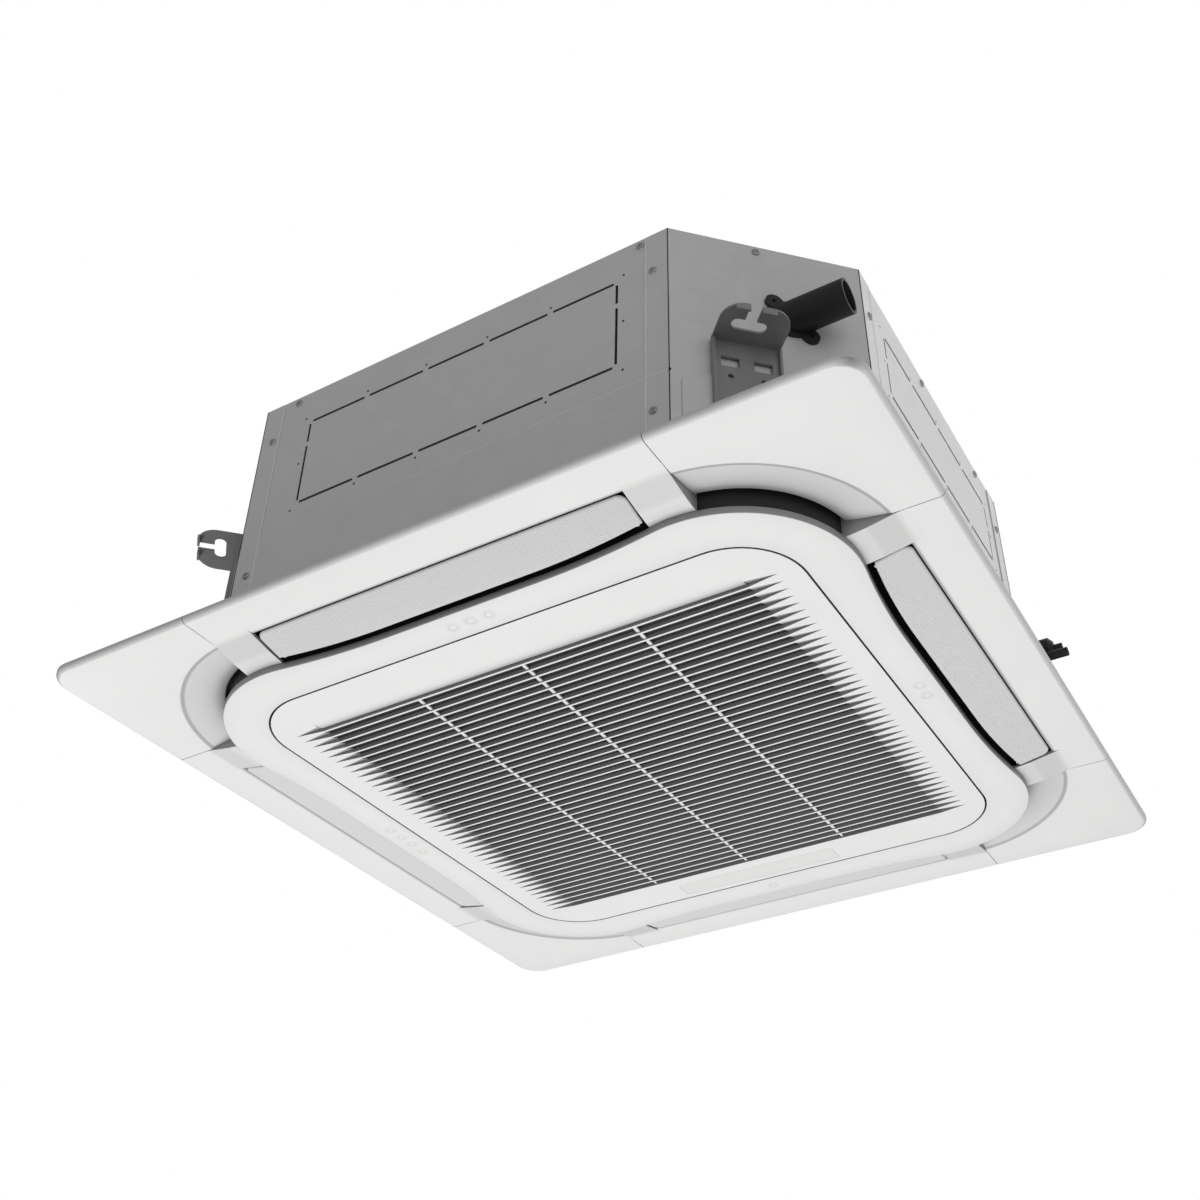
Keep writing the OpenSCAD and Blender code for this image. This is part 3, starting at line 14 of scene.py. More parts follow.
import bmesh
import bpy
import numpy as np
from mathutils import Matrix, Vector


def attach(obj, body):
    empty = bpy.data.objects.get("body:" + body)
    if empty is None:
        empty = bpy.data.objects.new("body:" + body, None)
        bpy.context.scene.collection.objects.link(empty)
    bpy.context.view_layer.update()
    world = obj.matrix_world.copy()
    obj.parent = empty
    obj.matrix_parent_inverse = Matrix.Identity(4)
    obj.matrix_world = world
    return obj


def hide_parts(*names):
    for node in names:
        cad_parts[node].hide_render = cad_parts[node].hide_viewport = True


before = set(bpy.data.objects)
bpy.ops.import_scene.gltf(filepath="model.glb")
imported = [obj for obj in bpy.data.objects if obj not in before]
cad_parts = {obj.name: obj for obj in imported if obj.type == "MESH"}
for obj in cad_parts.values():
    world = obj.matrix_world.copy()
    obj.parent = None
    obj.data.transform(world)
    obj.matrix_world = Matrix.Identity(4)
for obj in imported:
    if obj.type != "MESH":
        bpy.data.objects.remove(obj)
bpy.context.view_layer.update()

# Units and names

LOG = logging.getLogger("cassette")
MM = 0.001
RIM_Z = -185.0
MERGE = 1e-6
SLIVER = 1e-7
MIX_SHARE, MIX_A, MIX_B = 0, 6, 7
Array = np.ndarray
Point = tuple[float, float, float]
Profile = tuple[tuple[float, float], ...]
Material = bpy.types.Material
Socket = bpy.types.NodeSocket
CORNERS = ("rear_right", "rear_left", "front_left", "front_right")
SIDES = ("front", "right", "rear", "left")
RIGHT = 1
REAR = 2
ENDS = (-1, 1)
RIM_TOP: Profile = ((0.0, -0.7), (0.2, -0.2), (0.7, 0.0), (2.5, 0.0), (3.0, -0.5))


class Body(Enum):
    """The frame's bodies that carry pieces made here."""

    CASE = "case"
    GRILLE = "grille"
    FRONT_FLAP = "front_flap_body"
    RIGHT_FLAP = "right_flap_body"
    REAR_FLAP = "rear_flap_body"
    LEFT_FLAP = "left_flap_body"


class Slot(Enum):
    """Names of material slots, one passed with each piece made here."""

    WHITE = "white_moulding"
    BLACK = "black_plastic"
    FLAP = "flap_plastic"
    NET = "filter_net"
    HANGER = "hanger_steel"
    CASING = "casing_steel"


# Shapes


def turned(points: Array, quarters: int) -> Array:
    """Turn points about Z by whole quarter turns.

    Args:
        points: array whose last axis is x, y, z.
        quarters: number of quarter turns, seen from above, anticlockwise.

    Returns:
        The turned array: each quarter maps (x, y) to (-y, x).
    """
    c, s = [(1, 0), (0, 1), (-1, 0), (0, -1)][quarters % 4]
    m = np.array([[c, -s, 0], [s, c, 0], [0, 0, 1]], float)
    return points @ m.T


def rounded(profile: Array, radius: float | Array, steps: int = 5) -> Array:
    """Round the corners of a closed profile.

    Each corner becomes an arc that touches both edges: with half the inner angle h, it starts
    r / tan(h) away from the corner, and its centre lies r / sin(h) along the bisector. No arc
    takes more than 0.49 of an edge.

    Args:
        profile: (n, 2) corners in order.
        radius: one radius, or one for each corner.
        steps: number of points on each arc.

    Returns:
        (n * steps, 2) points.
    """
    p = np.asarray(profile, float)
    r = np.broadcast_to(np.asarray(radius, float), (len(p),))
    a, b = np.roll(p, 1, 0) - p, np.roll(p, -1, 0) - p
    la, lb = np.linalg.norm(a, axis=1), np.linalg.norm(b, axis=1)
    u, v = a / la[:, None], b / lb[:, None]
    straight, share, least_length, least_turn = 0.99999, 0.49, 1e-9, 1e-3
    half = np.arccos(np.clip((u * v).sum(1), -straight, straight)) / 2
    reach = np.minimum(r / np.tan(half), share * np.minimum(la, lb))
    r = reach * np.tan(half)
    bisector = (u + v) / np.maximum(np.linalg.norm(u + v, axis=1), least_length)[:, None]
    centre = p + bisector * (r / np.sin(half))[:, None]
    start, end = p + u * reach[:, None] - centre, p + v * reach[:, None] - centre
    sweep = np.maximum(np.pi - 2 * half, least_turn)[:, None]
    t = np.linspace(0, 1, steps)[None, :]
    w0, w1 = np.sin((1 - t) * sweep) / np.sin(sweep), np.sin(t * sweep) / np.sin(sweep)
    arcs = centre[:, None] + w0[..., None] * start[:, None] + w1[..., None] * end[:, None]
    return arcs.reshape(-1, 2)


def whole_turn(count: int) -> Array:
    """Angles spread evenly over a whole turn."""
    return np.linspace(0, 2 * np.pi, count, endpoint=False)


def circle(radius: float, count: int) -> Array:
    """Points (count, 2) on a circle about the origin."""
    a = whole_turn(count)
    return np.stack([radius * np.cos(a), radius * np.sin(a)], 1)


def inset(loop: Array, distance: float) -> Array:
    """Move a closed anticlockwise loop inwards by a distance, along the mean of its edge normals.

    Args:
        loop: (n, 2) points.
        distance: how far to move each edge.

    Returns:
        The moved loop.
    """
    edge = np.roll(loop, -1, 0) - loop
    normal = np.stack([-edge[:, 1], edge[:, 0]], 1) / np.linalg.norm(edge, axis=1)[:, None]
    mean = normal + np.roll(normal, 1, 0)
    least = 1e-6
    mean /= np.maximum((mean * mean).sum(1), least)[:, None] / 2
    return loop + mean * distance


def soft_edge(radius: float, count: int) -> list[tuple[float, float]]:
    """Quarter circle of an edge as (distance in, height): r (1 - sin a) in and r (1 - cos a) up."""
    quarter = np.linspace(0, math.pi / 2, count)
    return [(radius * (1 - math.sin(a)), radius * (1 - math.cos(a))) for a in quarter]


def level(loop: Array, z: float) -> Array:
    """Set a plan loop at a panel height."""
    return np.column_stack([loop, np.full(len(loop), RIM_Z + z)])


def wall_lines(near: Array, far: Array, low: float, top: float) -> list[Array]:
    """Edge lines, in order, of a wall between two plan loops and two panel heights."""
    return [level(near, low), level(far, low), level(far, top), level(near, top)]


def section(corners: Profile, radius: float | Array = 0.4, steps: int = 3) -> Array:
    """Round a section given as (distance outwards, panel height).

    Args:
        corners: the corners in order.
        radius: one radius, or one for each corner.
        steps: number of points on each arc.

    Returns:
        (n * steps, 2) points, their heights counted as in the drawing.
    """
    return rounded(np.array(corners, float), radius, steps) + [0, RIM_Z]


class Shell:
    """Collects surfaces, in millimetres, into the mesh of one piece."""

    def __init__(self) -> None:
        """Start with no points."""
        self.points: list[Array] = []
        self.faces: list[tuple[int, ...]] = []
        self.count = 0

    def _add(self, p: Array) -> int:
        """Append points.

        Args:
            p: points, whose last axis is x, y, z.

        Returns:
            The index of the first.
        """
        first = self.count
        self.points.append(np.asarray(p, float).reshape(-1, 3))
        self.count += len(self.points[-1])
        return first

    def grid(self, p: Array, close_u: bool = False, close_v: bool = False) -> "Shell":
        """Join a (u, v, 3) array of points into quads.

        Args:
            p: the surface's points.
            close_u: the last row joins the first.
            close_v: the last column joins the first.

        Returns:
            This shell.
        """
        rows, cols = p.shape[:2]
        index = self._add(p) + np.arange(rows * cols).reshape(rows, cols)
        if close_u:
            index = np.concatenate([index, index[:1]], 0)
        if close_v:
            index = np.concatenate([index, index[:, :1]], 1)
        quads = np.stack([index[:-1, :-1], index[:-1, 1:], index[1:, 1:], index[1:, :-1]], -1)
        self.faces += [tuple(q) for q in quads.reshape(-1, 4).tolist()]
        return self

    def cap(self, loop: Array) -> "Shell":
        """Close a planar loop of points with one face.

        Args:
            loop: (n, 3) points in order.

        Returns:
            This shell.
        """
        first = self._add(loop)
        self.faces.append(tuple(range(first, first + len(loop))))
        return self

    def tube(self, rings: Array) -> "Shell":
        """A closed solid from a (u, v, 3) stack of rings, with both ends capped."""
        return self.grid(rings, close_v=True).cap(rings[0]).cap(rings[-1])

    def prism(self, profile: Array, t0: float, t1: float, side: int = 0) -> "Shell":
        """Carry a profile straight along a side of the unit.

        Args:
            profile: (n, 2) points as (distance outwards, height).
            t0: start along the side.
            t1: end along the side.
            side: 0 front, 1 right, 2 rear, 3 left.

        Returns:
            This shell.
        """
        out, z = profile[:, 0], profile[:, 1]
        ring = np.stack([np.zeros_like(out), -out, z], 1)
        rings = ring[None] + np.array([t0, t1], float)[:, None, None] * np.array([1.0, 0, 0])
        return self.tube(turned(rings, side))

    def spin(self, profile: Array, axis: "Axis", count: int = 32) -> "Shell":
        """Turn a profile of (radius, distance along) round an axis; radius 0 closes an end.

        Args:
            profile: (n, 2) points.
            axis: the axis.
            count: points round it.

        Returns:
            This shell.
        """
        a = whole_turn(count)
        r, h = profile[:, 0][:, None], profile[:, 1][:, None]
        local = np.stack([r * np.cos(a), r * np.sin(a), np.broadcast_to(h, (len(r), count))], -1)
        return self.grid(axis.place(local), close_v=True)

    def copies(self, places: list["Axis"]) -> "Shell":
        """Repeat what the shell holds, drawn about Z at the origin, once on each axis.

        Args:
            places: where the copies go.

        Returns:
            This shell, with the copies alone.
        """
        base = np.concatenate(self.points)
        faces = list(self.faces)
        self.points, self.faces, self.count = [], [], 0
        for place in places:
            first = self._add(place.place(base))
            self.faces += [tuple(i + first for i in f) for f in faces]
        return self

    def piece(self, name: str, smooth: float = 32.0) -> bpy.types.Object:
        """Make the object: doubles merged, faces turned outwards, shading split at an angle.

        Args:
            name: the piece's name.
            smooth: edges sharper than this angle, in degrees, stay sharp.

        Returns:
            The object, at the origin, in metres.
        """
        mesh = bpy.data.meshes.new(name)
        mesh.from_pydata((np.concatenate(self.points) * MM).tolist(), [], self.faces)
        work = bmesh.new()
        work.from_mesh(mesh)
        bmesh.ops.remove_doubles(work, verts=work.verts, dist=MERGE)
        bmesh.ops.dissolve_degenerate(work, edges=work.edges, dist=SLIVER)
        bmesh.ops.recalc_face_normals(work, faces=work.faces)
        work.to_mesh(mesh)
        work.free()
        mesh.polygons.foreach_set("use_smooth", np.ones(len(mesh.polygons), bool))
        mesh.set_sharp_from_angle(angle=math.radians(smooth))
        obj = bpy.data.objects.new(name, mesh)
        bpy.context.scene.collection.objects.link(obj)
        return obj


@dataclass(frozen=True)
class Axis:
    """A place and direction: local Z runs along the direction."""

    at: Point
    along: Point = (0.0, 0.0, 1.0)

    def place(self, p: Array) -> Array:
        """Carry local points to this axis.

        Args:
            p: points, whose last axis is x, y, z.

        Returns:
            The carried points.
        """
        z = np.array(self.along, float) / np.linalg.norm(self.along)
        steep = 0.7
        hint = np.array([1.0, 0, 0]) if abs(z[0]) < steep else np.array([0, 0, 1.0])
        x = np.cross(hint, z)
        x /= np.linalg.norm(x)
        return p @ np.stack([x, np.cross(z, x), z]) + np.array(self.at, float)


# Finishes


def darker(tone: Point, share: float) -> Point:
    """A colour times a share."""
    return tuple(c * share for c in tone)


class Graph:
    """Builds one material's node tree."""

    def __init__(self, name: str) -> None:
        """Start a material with a Principled shader.

        Args:
            name: the material's name.
        """
        self.material = bpy.data.materials.new(name)
        self.material.use_nodes = True
        self.tree = self.material.node_tree
        self.shader = self.tree.nodes["Principled BSDF"]
        place = self.tree.nodes.new("ShaderNodeTexCoord")
        self.coord, self.facing = place.outputs["Object"], place.outputs["Normal"]

    def node(self, kind: str, inputs: dict | None = None, **settings: object) -> bpy.types.Node:
        """Add a node.

        Args:
            kind: the node's type without its prefix.
            inputs: socket name or index to a value or to an output socket.
            settings: the node's own settings.

        Returns:
            The node.
        """
        n = self.tree.nodes.new("ShaderNode" + kind)
        for key, value in settings.items():
            setattr(n, key, value)
        for key, value in (inputs or {}).items():
            if isinstance(value, Socket):
                self.tree.links.new(value, n.inputs[key])
            else:
                n.inputs[key].default_value = value
        return n

    def calc(self, operation: str, *values: float | Socket) -> Socket:
        """One step of arithmetic on one or two values."""
        return self.node("Math", dict(enumerate(values)), operation=operation).outputs[0]

    def noise(self, scale: float, detail: float = 3.0, stretch: Point = (1, 1, 1)) -> Socket:
        """A noise field, its grain stretched by the inverse of each axis's factor."""
        place = self.node("Mapping", {"Vector": self.coord, "Scale": stretch}).outputs[0]
        return self.node("TexNoise", {"Vector": place, "Scale": scale, "Detail": detail}).outputs["Fac"]

    def cells(self, scale: float, output: str, feature: str = "F1") -> Socket:
        """A field of cells."""
        inputs = {"Vector": self.coord, "Scale": scale}
        return self.node("TexVoronoi", inputs, feature=feature).outputs[output]

    def ramp(self, value: Socket, low: float, high: float, start: float = 0.0, end: float = 1.0) -> Socket:
        """Map start..end to low..high."""
        inputs = {"Value": value, "From Min": start, "From Max": end, "To Min": low, "To Max": high}
        return self.node("MapRange", inputs).outputs[0]

    def tint(self, value: Socket, a: Point, b: Point) -> Socket:
        """Mix two colours by a field."""
        inputs = {MIX_SHARE: value, MIX_A: (*a, 1), MIX_B: (*b, 1)}
        return self.node("Mix", inputs, data_type="RGBA").outputs[2]

    def shaded(self, colour: Socket, shade: Socket) -> Socket:
        """Multiply a colour by a field."""
        inputs = {MIX_SHARE: 1.0, MIX_A: colour, MIX_B: shade}
        return self.node("Mix", inputs, data_type="RGBA", blend_type="MULTIPLY").outputs[2]

    def flatness(self, power: float) -> Socket:
        """1 on level faces and near 0 on upright ones: the size of the normal's z to a power."""
        upward = self.node("SeparateXYZ", {0: self.facing}).outputs[2]
        return self.calc("POWER", self.calc("ABSOLUTE", upward), power)

    def gloss(self, value: Socket, rough: float, spread: tuple[float, float]) -> Socket:
        """Roughness that a field carries from one side of a value to the other."""
        return self.ramp(value, rough + spread[0], rough + spread[1])

    def bump(self, height: Socket, depth: float, below: Socket | None = None) -> Socket:
        """Raise the surface by a field, to a depth in millimetres, on what lies below.

        Args:
            height: the field.
            depth: how far 1 stands above 0.
            below: a bump that this one lies on.

        Returns:
            The normal.
        """
        inputs = {"Height": height, "Distance": depth * MM, "Strength": 1.0}
        if below is not None:
            inputs["Normal"] = below
        return self.node("Bump", inputs).outputs[0]

    def join(self, **sockets: object) -> Material:
        """Set or link the shader's sockets, named with underscores for spaces.

        Returns:
            The finished material.
        """
        for key, value in sockets.items():
            socket = self.shader.inputs[key.replace("_", " ")]
            if isinstance(value, Socket):
                self.tree.links.new(value, socket)
            else:
                socket.default_value = value
        return self.material


@dataclass(frozen=True)
class Moulding:
    """Injection-moulded plastic: a fine grain, and faint cloudy variation in tone and gloss.

    Painted shade: where recess_shade is above 0, recesses narrower than the reach turn greyer by that share,
    as ambient occlusion painted into the colour. Faces that stand upright turn greyer by the share called
    upright_shade, as shade painted by slope. Beyond the distance called rim from the middle, the upright
    shade falls to the share rim_upright_shade of its value.
    """

    name: str
    tone: Point
    rough: float = 0.42
    grain: float = 0.02
    grain_scale: float = 900.0
    spread: float = 0.03
    recess_shade: float = 0.0
    upright_shade: float = 0.0
    reach: float = 16.0
    upright: float = 32.0
    rim: float = 466.0
    rim_fade: float = 6.0
    rim_upright_shade: float = 0.4
    cloud: float = 14.0
    gloss: tuple[float, float] = (-0.05, 0.06)
    wave: float = 60.0
    wave_depth: float = 0.02

    def unshaded_share(self, g: Graph) -> Socket:
        """The share of the tone that the painted shade leaves, in recesses and on upright faces.

        Args:
            g: the material's nodes.

        Returns:
            A field from 0 to 1.
        """
        # Painted shade: occlusion darkens recesses and slope darkens upright faces.
        open_share = g.node("AmbientOcclusion", {"Distance": self.reach * MM}, samples=8).outputs["AO"]
        place = g.node("SeparateXYZ", {0: g.coord}).outputs
        out = g.calc("MAXIMUM", g.calc("ABSOLUTE", place[0]), g.calc("ABSOLUTE", place[1]))
        far = (self.rim + self.rim_fade) * MM
        upright_shade = g.ramp(out, self.upright_shade, self.rim_upright_shade * self.upright_shade, self.rim * MM, far)
        loss = g.calc("MULTIPLY", upright_shade, g.calc("SUBTRACT", 1.0, g.flatness(self.upright)))
        return g.calc("MULTIPLY", g.ramp(open_share, 1 - self.recess_shade, 1.0), g.calc("SUBTRACT", 1.0, loss))

    def build(self) -> Material:
        """Build the finish.

        Returns:
            The material.
        """
        g = Graph(self.name)
        cloud = g.noise(self.cloud, 2.0)
        colour = g.tint(cloud, darker(self.tone, 1 - self.spread), self.tone)
        # Painted shade in recesses and on upright faces.
        if self.recess_shade:
            colour = g.shaded(colour, self.unshaded_share(g))
        wave = g.bump(g.noise(self.wave, 1.0), self.wave_depth)
        return g.join(
            Base_Color=colour,
            Roughness=g.gloss(cloud, self.rough, self.gloss),
            Normal=g.bump(g.noise(self.grain_scale, 2.0), self.grain, wave),
        )


@dataclass(frozen=True)
class Flocked:
    """Flocked plastic of the flaps: short fibres that keep dew off, matt, with a soft sheen."""

    name: str = "flocked_flap"
    tone: Point = (0.64, 0.64, 0.64)
    shades: tuple[float, float] = (0.97, 1.04)
    fibre: float = 1600.0
    patch: float = 120.0
    rough: float = 0.85
    sheen: float = 0.08
    sheen_rough: float = 0.5
    depth: float = 0.04

    def build(self) -> Material:
        """Build the finish.

        Returns:
            The material.
        """
        g = Graph(self.name)
        fibre = g.noise(self.fibre, 3.0)
        shade = g.calc("MULTIPLY", fibre, g.noise(self.patch, 3.0))
        return g.join(
            Base_Color=g.tint(shade, darker(self.tone, self.shades[0]), darker(self.tone, self.shades[1])),
            Roughness=self.rough,
            Sheen_Weight=self.sheen,
            Sheen_Roughness=self.sheen_rough,
            Normal=g.bump(fibre, self.depth),
        )


@dataclass(frozen=True)
class Sheet:
    """Coated sheet steel: rolling lines, faint zinc flowers and handling marks.

    Level faces, such as the walls of a knock-out's slits, get painted shade: darker by the share called cut.
    """

    name: str
    tone: Point
    metal: float = 0.35
    rough: float = 0.42
    flower: float = 55.0
    spread: float = 0.08
    cut: float = 0.0
    level_edge: float = 8.0
    roll: float = 30.0
    roll_lines: Point = (1, 1, 26)
    roll_depth: float = 0.015
    dent: float = 7.0
    dent_depth: float = 0.25
    gloss: tuple[float, float] = (-0.06, 0.10)

    def build(self) -> Material:
        """Build the finish.

        Returns:
            The material.
        """
        g = Graph(self.name)
        grey = g.node("RGBToBW", {0: g.cells(self.flower, "Color")}).outputs[0]
        roll = g.noise(self.roll, 4.0, self.roll_lines)
        both = g.calc("MULTIPLY", grey, roll)
        colour = g.tint(both, darker(self.tone, 1 - self.spread), self.tone)
        # Painted shade: level faces, such as the walls of the slits, turn darker by the share cut.
        if self.cut:
            colour = g.shaded(colour, g.ramp(g.flatness(self.level_edge), 1.0, 1 - self.cut))
        return g.join(
            Base_Color=colour,
            Metallic=self.metal,
            Roughness=g.gloss(both, self.rough, self.gloss),
            Normal=g.bump(roll, self.roll_depth, g.bump(g.noise(self.dent, 1.0), self.dent_depth)),
        )


@dataclass(frozen=True)
class Foam:
    """Expanded bead foam: cells of about 3 mm pressed against each other."""

    name: str
    tone: Point = (0.82, 0.82, 0.80)
    bead: float = 330.0
    seam: float = 0.18
    seam_tone: float = 0.80
    rough: float = 0.75
    glow: float = 0.1
    glow_reach: float = 4.0
    depth: float = 0.35

    def build(self) -> Material:
        """Build the finish.

        Returns:
            The material.
        """
        g = Graph(self.name)
        near = g.ramp(g.cells(self.bead, "Distance", "DISTANCE_TO_EDGE"), 0.0, 1.0, 0.0, self.seam)
        return g.join(
            Base_Color=g.tint(near, darker(self.tone, self.seam_tone), self.tone),
            Roughness=self.rough,
            Subsurface_Weight=self.glow,
            Subsurface_Radius=(self.glow_reach * MM,) * 3,
            Normal=g.bump(near, self.depth),
        )


@dataclass(frozen=True)
class Fins:
    """Edges of thin upright aluminium fins, 1.8 mm apart round the coil, with painted shade in the gaps
    between them.
    """

    name: str = "coil_fins"
    tone: Point = (0.66, 0.69, 0.72)
    gap_shade_tone: Point = (0.05, 0.055, 0.06)
    pitch: float = 1.8
    edge: tuple[float, float] = (0.35, 0.9)
    metal: float = 0.85
    rough: float = 0.38
    depth: float = 0.5

    def build(self) -> Material:
        """Build the finish: stripes across x and across y, the stronger of both, sharpened.

        The wave texture has bands * scale / (2 pi) stripes a metre.

        Returns:
            The material.
        """
        g = Graph(self.name)
        bands = 20
        inputs = {"Vector": g.coord, "Scale": 2 * math.pi / bands / (self.pitch * MM), "Distortion": 0.0}
        wave = [g.node("TexWave", inputs, bands_direction=d).outputs["Fac"] for d in "XY"]
        # Painted shade: the gaps between the fins' edges are dark.
        sharp = g.ramp(g.calc("MAXIMUM", *wave), 0.0, 1.0, *self.edge)
        return g.join(
            Base_Color=g.tint(sharp, self.gap_shade_tone, self.tone),
            Metallic=self.metal,
            Roughness=self.rough,
            Normal=g.bump(sharp, self.depth),
        )


@dataclass(frozen=True)
class Metal:
    """Bare or plated metal: drawn or brushed lines, stains, and gloss that changes with them."""

    name: str
    tone: Point
    rough: float = 0.3
    metal: float = 1.0
    lines: Point = (1, 1, 12)
    stain: Point | None = None
    stain_share: float = 0.82
    line: float = 160.0
    blot: float = 24.0
    blot_reach: tuple[float, float] = (-0.4, 1.3)
    gloss: tuple[float, float] = (-0.08, 0.14)
    depth: float = 0.02

    def build(self) -> Material:
        """Build the finish.

        Returns:
            The material.
        """
        g = Graph(self.name)
        line = g.noise(self.line, 4.0, self.lines)
        blot = g.ramp(g.noise(self.blot, 4.0), *self.blot_reach)
        return g.join(
            Base_Color=g.tint(blot, self.stain or darker(self.tone, self.stain_share), self.tone),
            Metallic=self.metal,
            Roughness=g.gloss(line, self.rough, self.gloss),
            Normal=g.bump(line, self.depth),
        )


@dataclass(frozen=True)
class Board:
    """Circuit board: green lacquer over copper tracks, with paler pads."""

    name: str = "circuit_lacquer"
    lacquer: Point = (0.01, 0.10, 0.04)
    over_copper: Point = (0.012, 0.13, 0.05)
    track: Point = (0.03, 0.22, 0.09)
    solder: Point = (0.55, 0.55, 0.5)
    track_scale: float = 90.0
    track_width: float = 0.035
    pad_scale: float = 220.0
    pad_size: float = 0.16
    rough: float = 0.35
    pad_metal: float = 0.8
    depth: float = 0.15

    def build(self) -> Material:
        """Build the finish.

        Returns:
            The material.
        """
        g = Graph(self.name)
        inputs = {"Vector": g.coord, "Scale": self.track_scale, "Mortar Size": self.track_width,
                  "Color1": (*self.lacquer, 1), "Color2": (*self.over_copper, 1), "Mortar": (*self.track, 1)}
        tracks = g.node("TexBrick", inputs).outputs["Color"]
        pad = g.calc("LESS_THAN", g.cells(self.pad_scale, "Distance"), self.pad_size)
        inputs = {MIX_SHARE: pad, MIX_A: tracks, MIX_B: (*self.solder, 1)}
        mix = g.node("Mix", inputs, data_type="RGBA")
        return g.join(
            Base_Color=mix.outputs[2],
            Roughness=self.rough,
            Metallic=g.ramp(pad, 0.0, self.pad_metal),
            Normal=g.bump(pad, self.depth),
        )


# Outlines


@dataclass(frozen=True)
class Outlines:
    """Plan outlines of the panel's rings, each an anticlockwise loop of matching points."""

    ring_half: float = 365.8
    straight: float = 90.0
    flare_r: float = 900.0
    corner_r: float = 132.0
    line_points: int = 5
    flare_points: int = 14
    corner_points: int = 30

    def _solve(self) -> tuple[float, float]:
        """Centre of the corner circle, and the turn at which it touches the hollow curve.

        Returns:
            The centre's x, which is also its y, and the turn.
        """
        a, b, s = self.ring_half + self.flare_r, self.straight, self.flare_r + self.corner_r
        c = ((a + b) - math.sqrt((a + b) ** 2 - 2 * (a * a + b * b - s * s))) / 2
        return c, math.atan2(b - c, a - c)

    def _loop(self, quarter: Array) -> Array:
        """Four quarters joined into a loop."""
        flat = np.column_stack([quarter, np.zeros(len(quarter))])
        return np.concatenate([turned(flat, k) for k in range(4)])[:, :2]

    def ring(self, d: float) -> Array:
        """Outline of the centre ring, moved in by d.

        Half a side is straight, then a hollow arc of radius R + d leads to the corner's arc of
        radius r - d, and the second half mirrors the first.

        Args:
            d: distance in.

        Returns:
            (n, 2) points.
        """
        c, turn = self._solve()
        y = np.linspace(0, self.straight, self.line_points, endpoint=False)
        line = np.stack([np.full_like(y, self.ring_half - d), y], 1)
        a = np.pi + np.linspace(0, turn, self.flare_points, endpoint=False)
        flare = np.stack([self.ring_half + self.flare_r + (self.flare_r + d) * np.cos(a),
                          self.straight + (self.flare_r + d) * np.sin(a)], 1)
        first = np.concatenate([line, flare])
        b = np.linspace(turn, np.pi / 2 - turn, self.corner_points)
        corner = c + (self.corner_r - d) * np.stack([np.cos(b), np.sin(b)], 1)
        return self._loop(np.concatenate([first, corner, first[::-1, ::-1][:-1]]))

    def square(self, half: float, radius: float) -> Array:
        """Round-cornered square whose points match those of the ring.

        Args:
            half: half a side.
            radius: radius of its corners.

        Returns:
            (n, 2) points.
        """
        n = self.line_points + self.flare_points
        y = np.linspace(0, half - radius, n, endpoint=False)
        first = np.stack([np.full_like(y, half), y], 1)
        b = np.linspace(0, np.pi / 2, self.corner_points)
        corner = half - radius + radius * np.stack([np.cos(b), np.sin(b)], 1)
        return self._loop(np.concatenate([first, corner, first[::-1, ::-1][:-1]]))

    def sag(self, t: Array) -> Array:
        """How far the ring's side stands out at a distance t from its middle."""
        u = np.maximum(np.abs(t) - self.straight, 0)
        return self.flare_r - np.sqrt(self.flare_r ** 2 - u ** 2)


@dataclass(frozen=True)
class Corner:
    """Plan lines of a corner of the panel, from seam to seam."""

    centre: float = 250.0
    seam: float = 271.9
    half: float = 475.0
    radius: float = 32.0
    side_points: int = 14
    turn_points: int = 15

    def hollow(self, r: float) -> Array:
        """Arc of radius r about the corner's centre, cut at both seams.

        Args:
            r: the radius.

        Returns:
            (n, 2) points.
        """
        n = 2 * self.side_points + self.turn_points
        a0 = math.asin((self.seam - self.centre) / r)
        a = np.linspace(a0, np.pi / 2 - a0, n)
        return self.centre + r * np.stack([np.cos(a), np.sin(a)], 1)

    def edge(self, d: float) -> Array:
        """The panel's outline moved in by d: a side, the round corner, a side.

        Args:
            d: distance in.

        Returns:
            (n, 2) points.
        """
        y = np.linspace(self.seam, self.half - self.radius, self.side_points, endpoint=False)
        side = np.stack([np.full_like(y, self.half - d), y], 1)
        a = np.linspace(0, np.pi / 2, self.turn_points)
        turn = self.half - self.radius + (self.radius - d) * np.stack([np.cos(a), np.sin(a)], 1)
        return np.concatenate([side, turn, side[::-1, ::-1]])


# Sub-assemblies


def dress(names: str, material: Material) -> None:
    """Give CAD nodes, named in one line of words, a material.

    Args:
        names: the nodes.
        material: what they get.
    """
    for name in names.split():
        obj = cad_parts[name]
        if obj.material_slots:
            for s in obj.material_slots:
                s.material = material
        else:
            obj.data.materials.append(material)


def settle(obj: bpy.types.Object, material: Material, slot: Slot, body: Body, *nodes: str) -> None:
    """Dress a piece, hang it on its body and say which CAD nodes it stands for.

    Args:
        obj: the piece.
        material: its material.
        slot: not used.
        body: the body that it moves with.
        nodes: CAD nodes that it replaces.
    """
    obj.data.materials.append(material)
    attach(obj, body.value)
    if nodes:
        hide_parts(*nodes)
    LOG.info("%s: %d faces on %s", obj.name, len(obj.data.polygons), body.value)


